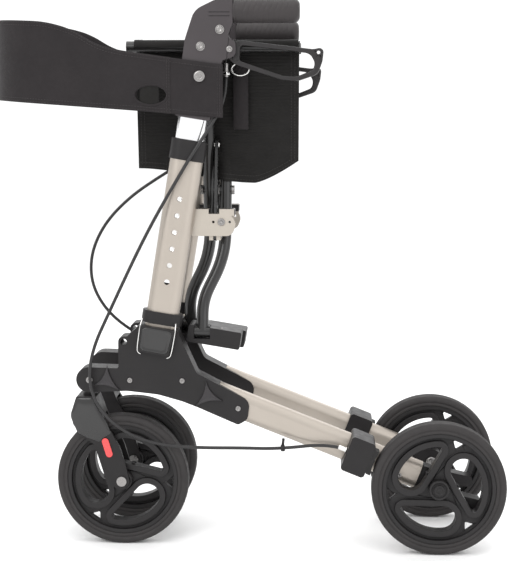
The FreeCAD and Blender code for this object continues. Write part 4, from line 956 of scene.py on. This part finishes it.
def strap_plan(distance):
    """Point and outward direction along the strap's plan, from its left seam to its right one."""
    straight = STRAP_SEAM_X - STRAP_BEND_X
    turn = math.pi * STRAP_Y
    if distance <= straight:
        return Vector((STRAP_SEAM_X - distance, -STRAP_Y, 0)), Vector((0, -1, 0))
    if distance <= straight + turn:
        angle = (distance - straight) / STRAP_Y
        outward = Vector((-math.sin(angle), -math.cos(angle), 0))
        return Vector((STRAP_BEND_X, 0, 0)) + outward * STRAP_Y, outward
    return Vector((STRAP_BEND_X + distance - straight - turn, STRAP_Y, 0)), Vector((0, 1, 0))


STRAP_LENGTH = 2 * (STRAP_SEAM_X - STRAP_BEND_X) + math.pi * STRAP_Y


def cloth_section(point, outward, low, high, half, rows=44, hem=9.0):
    """A closed ring round a cloth's edge-to-edge section, thicker at its hems."""
    face, back = [], []
    for row in range(rows + 1):
        share = row / rows
        z = low + (high - low) * share
        edge = min(z - low, high - z)
        thick = half * min(1.0, 0.45 + edge / 1.2)
        thick -= 0.35 * math.exp(-(((edge - hem) / 1.1) ** 2)) + (0.25 if edge > hem else 0.0)
        face.append(Vector((point.x, point.y, z)) + outward * thick)
        back.append(Vector((point.x, point.y, z)) - outward * thick)
    return face + back[::-1]


def without_hole(item, cutters):
    """Cuts closed shapes out of a piece's mesh."""
    for number, shape in enumerate(cutters):
        tool = build(f"cutter_{number}", shape, "thread")
        cutter = item.modifiers.new("cut", "BOOLEAN")
        cutter.operation = "DIFFERENCE"
        cutter.solver = "EXACT"
        cutter.object = tool
    bpy.context.view_layer.update()
    made = bpy.data.meshes.new_from_object(item.evaluated_get(bpy.context.evaluated_depsgraph_get()))
    item.modifiers.clear()
    item.data = made
    for number in range(len(cutters)):
        bpy.data.objects.remove(bpy.data.objects[f"cutter_{number}"])


HOLE_X, HOLE_Z, HOLE_A, HOLE_B = -142, 678, 24, 14.5
TAB_X, TAB_REACH, TAB_LOW, TAB_HIGH = -144, 14, 663, 693
STITCH_FACE = 82.6
HEM_STITCHES = 6.5
columns = 210
rings = []
for column in range(columns + 1):
    distance = STRAP_LENGTH * column / columns
    point, outward = strap_plan(distance)
    low, high = edge_height(LOWER_EDGE, point.x), edge_height(UPPER_EDGE, point.x)
    rings.append(cloth_section(point, outward, low, high, 1.45))
strap = build("strap_cloth", loft(rings), "strap_fabric")
ovals = []
for side in (-1, 1):
    sections = []
    for y in (70, 92):
        turns = [math.tau * step / 72 for step in range(72)]
        sections.append(
            [Vector((HOLE_X + HOLE_A * math.cos(t), side * y, HOLE_Z + HOLE_B * math.sin(t))) for t in turns]
        )
    ovals.append(loft(sections))
without_hole(strap, ovals)
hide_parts("strap_left", "strap_right")
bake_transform(strap)
# Thread runs inside both edges and either side of the seams.
stitches = []
for edge, inset in (
    (LOWER_EDGE, HEM_STITCHES), (UPPER_EDGE, -HEM_STITCHES), (UPPER_EDGE, -2.2), (LOWER_EDGE, 2.2),
):
    line = []
    for column in range(2 * columns + 1):
        point, outward = strap_plan(STRAP_LENGTH * column / columns / 2)
        height = edge_height(edge, point.x) + inset
        line.append(Vector((point.x, point.y, height)) + outward * 1.42)
    stitches.append(dashes(line))
for distance in (3, 6.5, STRAP_LENGTH - 6.5, STRAP_LENGTH - 3):
    point, outward = strap_plan(distance)
    low, high = edge_height(LOWER_EDGE, point.x), edge_height(UPPER_EDGE, point.x)
    heights = [low + 3 + (high - low - 6) * step / 40 for step in range(41)]
    stitches.append(dashes([Vector((point.x, point.y, z)) + outward * 1.4 for z in heights]))
threads = build("strap_stitches", joined(*stitches), "thread")
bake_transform(threads)
trim = [threads]
for name, side in SIDES:
    body = f"{name}_strap"
    ring = []
    for row in range(72):
        t = math.tau * row / 72
        x, z = HOLE_X + (HOLE_A + 0.6) * math.cos(t), HOLE_Z + (HOLE_B + 0.6) * math.sin(t)
        ring.append((x, side * STRAP_Y, z))
    binding = bar(ring + [ring[0]], 1.9, 14, ends=False)
    trim.append(build(f"strap_binding_{name}", binding, "strap_fabric", body))
    tab = []
    for x in range(TAB_X - TAB_REACH, TAB_X + TAB_REACH + 1, 2):
        bulge = 0.8 * math.cos((x - TAB_X) / TAB_REACH * math.pi / 2)
        point = Vector((x, side * (STRAP_Y - 1.0 + bulge), 0))
        tab.append(cloth_section(point, Vector((0, side, 0)), TAB_LOW, TAB_HIGH, 0.8, 16, 3))
    trim.append(build(f"strap_tab_{name}", loft(tab), "seat_fabric", body))
    # Only the left half is jointed to its handle, so only its tail can bend there.
    tail_body = None if side < 0 else body
    tail = []
    for step in range(41):
        x = STRAP_END_X + (STRAP_SEAM_X - 5 - STRAP_END_X) * step / 40
        low, high = edge_height(LOWER_EDGE, x), edge_height(UPPER_EDGE, x)
        point = Vector((x, side * STRAP_Y, 0))
        tail.append(cloth_section(point, Vector((0, side, 0)), low + 0.4, high - 0.4, 1.2))
    trim.append(build(f"strap_tail_{name}", loft(tail), "strap_fabric", tail_body))
    lines = []
    for x in (-41, -44.5):
        low, high = edge_height(LOWER_EDGE, x), edge_height(UPPER_EDGE, x)
        heights = [low + 3 + (high - low - 6) * step / 30 for step in range(31)]
        lines.append(dashes([Vector((x, side * STITCH_FACE, z)) for z in heights]))
    for edge, inset in ((LOWER_EDGE, HEM_STITCHES), (UPPER_EDGE, -HEM_STITCHES)):
        spots = [STRAP_END_X - 2 + (STRAP_SEAM_X - STRAP_END_X) * step / 30 for step in range(30)]
        lines.append(dashes([Vector((x, side * STITCH_FACE, edge_height(edge, x) + inset)) for x in spots]))
    trim.append(build(f"strap_tail_stitches_{name}", joined(*lines), "thread", tail_body))
    if side < 0:
        for piece in trim[-2:]:
            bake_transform(piece)

# ---------------------------------------------------------------- seat cloth

RAIL_Y, RAIL_Z = 36, 749
SEAT_FRONT, SEAT_REAR = -171, 72
SEAT_R = 9.45
SEAT_LEAN = math.radians(7.43)
RIB = 5.0
CROSS_Z = 535.5
TUBES = ((-38.6, 1), (-63.7, -1))
SEAT_COLUMNS = 90


def seat_push(side, x, y, z):
    """How far the hanging cloth bulges sideways to pass the cross tubes and its link."""
    share = (z - CROSS_Z) / (RAIL_Z - CROSS_Z)
    push = 0.0
    for tube_x, tube_side in TUBES:
        surface = tube_side * RAIL_Y * share - tube_side * (10.7 + (2.4 if side != -tube_side else 0.0))
        need = (surface - y) * -tube_side
        weight = math.exp(-(((x - tube_x) / 11.5) ** 2))
        push += -tube_side * weight * max(0.0, need)
    near_link = math.exp(-(((x - LINK_X) / 6.5) ** 2)) * math.exp(-(((z - 598) / 22) ** 2))
    return push - side * 4.6 * near_link


SEAT_LOWEST_X = 6
SEAT_HEM = 11
SEAT_DROP = 206
SEAT_ROWS = 250


def seat_drop(x):
    """How far the cloth hangs at x: lowest a little behind the cross, shortest at its rear corner."""
    if x < SEAT_LOWEST_X:
        share = (x - SEAT_FRONT) / (SEAT_LOWEST_X - SEAT_FRONT)
        return 184 + 22 * share * share * (3 - 2 * share)
    share = (x - SEAT_LOWEST_X) / (SEAT_REAR - SEAT_LOWEST_X)
    return SEAT_DROP - 34 * share**1.35


def seat_ring(side, x):
    """The cloth's section at x: over the rail, then down, with ribs on both faces."""
    edge_x = min(x - SEAT_FRONT, SEAT_REAR - x)
    drop = seat_drop(x)
    rail = Vector((x, side * RAIL_Y, RAIL_Z))
    inward = Vector((0, -side * math.cos(SEAT_LEAN), math.sin(SEAT_LEAN)))
    up = Vector((0, side * math.sin(SEAT_LEAN), math.cos(SEAT_LEAN)))
    hem = 0.35 if edge_x < SEAT_HEM else 0.0
    middle, normals, lengths = [], [], []
    for step in range(25):
        turn = math.pi * (1 - step / 24)
        out = inward * math.cos(turn) + up * math.sin(turn)
        middle.append(rail + out * SEAT_R)
        normals.append(out)
        lengths.append(SEAT_R * math.pi * step / 24)
    for row in range(1, SEAT_ROWS + 1):
        down = drop * row / SEAT_ROWS
        point = rail + inward * SEAT_R - up * down
        push = seat_push(side, x, point.y, point.z)
        sway = 1.2 * math.sin(x / 37 + side) * (down / drop) ** 2
        middle.append(point + Vector((0, push + side * sway, 0)))
        normals.append(inward)
        lengths.append(SEAT_R * math.pi + down)
    total = lengths[-1]
    face, back = [], []
    for point, normal, length in zip(middle, normals, lengths):
        ribbed = hem == 0 and length > SEAT_R * math.pi
        rib = 0.32 * math.cos(math.tau * length / RIB) if ribbed else 0.0
        end = min(1.0, 0.3 + (total - length) / 1.5)
        low_hem = 0.3 if 3 < total - length < SEAT_HEM else 0.0
        thick = (0.75 + hem + low_hem + max(rib, -0.2) * (0.0 if low_hem else 1.0)) * end
        face.append(point + normal * thick)
        back.append(point - normal * min(thick, 1.2))
    return face + back[::-1]


for name, side in SIDES:
    body = f"{name}_seat"
    spots = [SEAT_FRONT + (SEAT_REAR - SEAT_FRONT) * step / SEAT_COLUMNS for step in range(SEAT_COLUMNS + 1)]
    sections = [seat_ring(side, x) for x in spots]
    cloth = build(f"seat_cloth_{name}", loft(sections), "seat_fabric", body)
    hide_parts(f"seat_panel_{name}")
    count = len(sections[0]) // 2
    lines = []
    for column in (2, 4, SEAT_COLUMNS - 2, SEAT_COLUMNS - 4):
        for start in (0, count):
            lines.append(dashes(sections[column][start + 8:start + count - 8]))
    for row in (count - 6, count - 14):
        lines.append(dashes([section[row] for section in sections[1:-1]]))
        lines.append(dashes([section[2 * count - 1 - row] for section in sections[1:-1]]))
    threads = build(f"seat_stitches_{name}", joined(*lines), "thread", body)

# Webbing pull loop that hangs from the left rail beside the cloth, with its steel ring.
LOOP_X, LOOP_TOP = -14, 722
WEBBING = (
    (-11, 0.2), (-10.6, 0.8), (10.6, 0.8), (11, 0.2), (11, -0.2), (10.6, -0.8), (-10.6, -0.8), (-11, -0.2),
)
loop = []
for step in range(61):
    share = step / 60
    angle = math.pi * (share * 2 - 1)
    z = LOOP_TOP - 47 * (1 + math.cos(angle))
    y = -30.5 + 10 * (740 - z) / 110 + 3.4 * math.sin(angle)
    loop.append(Vector((LOOP_X, y, z)))
sections = []
for index, point in enumerate(loop[:-1]):
    ahead = (loop[index + 1] - loop[index - 1 if index else -2]).normalized()
    out = Vector((1, 0, 0)).cross(ahead).normalized()
    sections.append([point + Vector((across, 0, 0)) + out * thick for across, thick in WEBBING])
build("pull_loop", loft(sections, ends="round"), "strap_fabric", "left_seat")
turns = [math.tau * step / 40 for step in range(41)]
ring = [(LOOP_X + 13 * math.cos(t), -RAIL_Y, 716 + 9 * math.sin(t)) for t in turns]
build("pull_ring", bar(ring, 1.3, 12, ends=False), "bright_steel", "left_seat")

# ---------------------------------------------------------------- floor

FLOOR = 30.0
floor_mesh = bpy.data.meshes.new("floor")
floor_mesh.from_pydata(
    [(-FLOOR, -FLOOR, 0), (FLOOR, -FLOOR, 0), (FLOOR, FLOOR, 0), (-FLOOR, FLOOR, 0)], [], [(0, 1, 2, 3)]
)
floor = bpy.data.objects.new("floor", floor_mesh)
bpy.context.scene.collection.objects.link(floor)
floor_mesh.materials.append(
    material("studio_floor", (0.97, 0.97, 0.97), (0.955, 0.955, 0.955), 0.6, 0.0, 1.5, 0.05)
)
floor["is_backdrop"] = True

low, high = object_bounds()
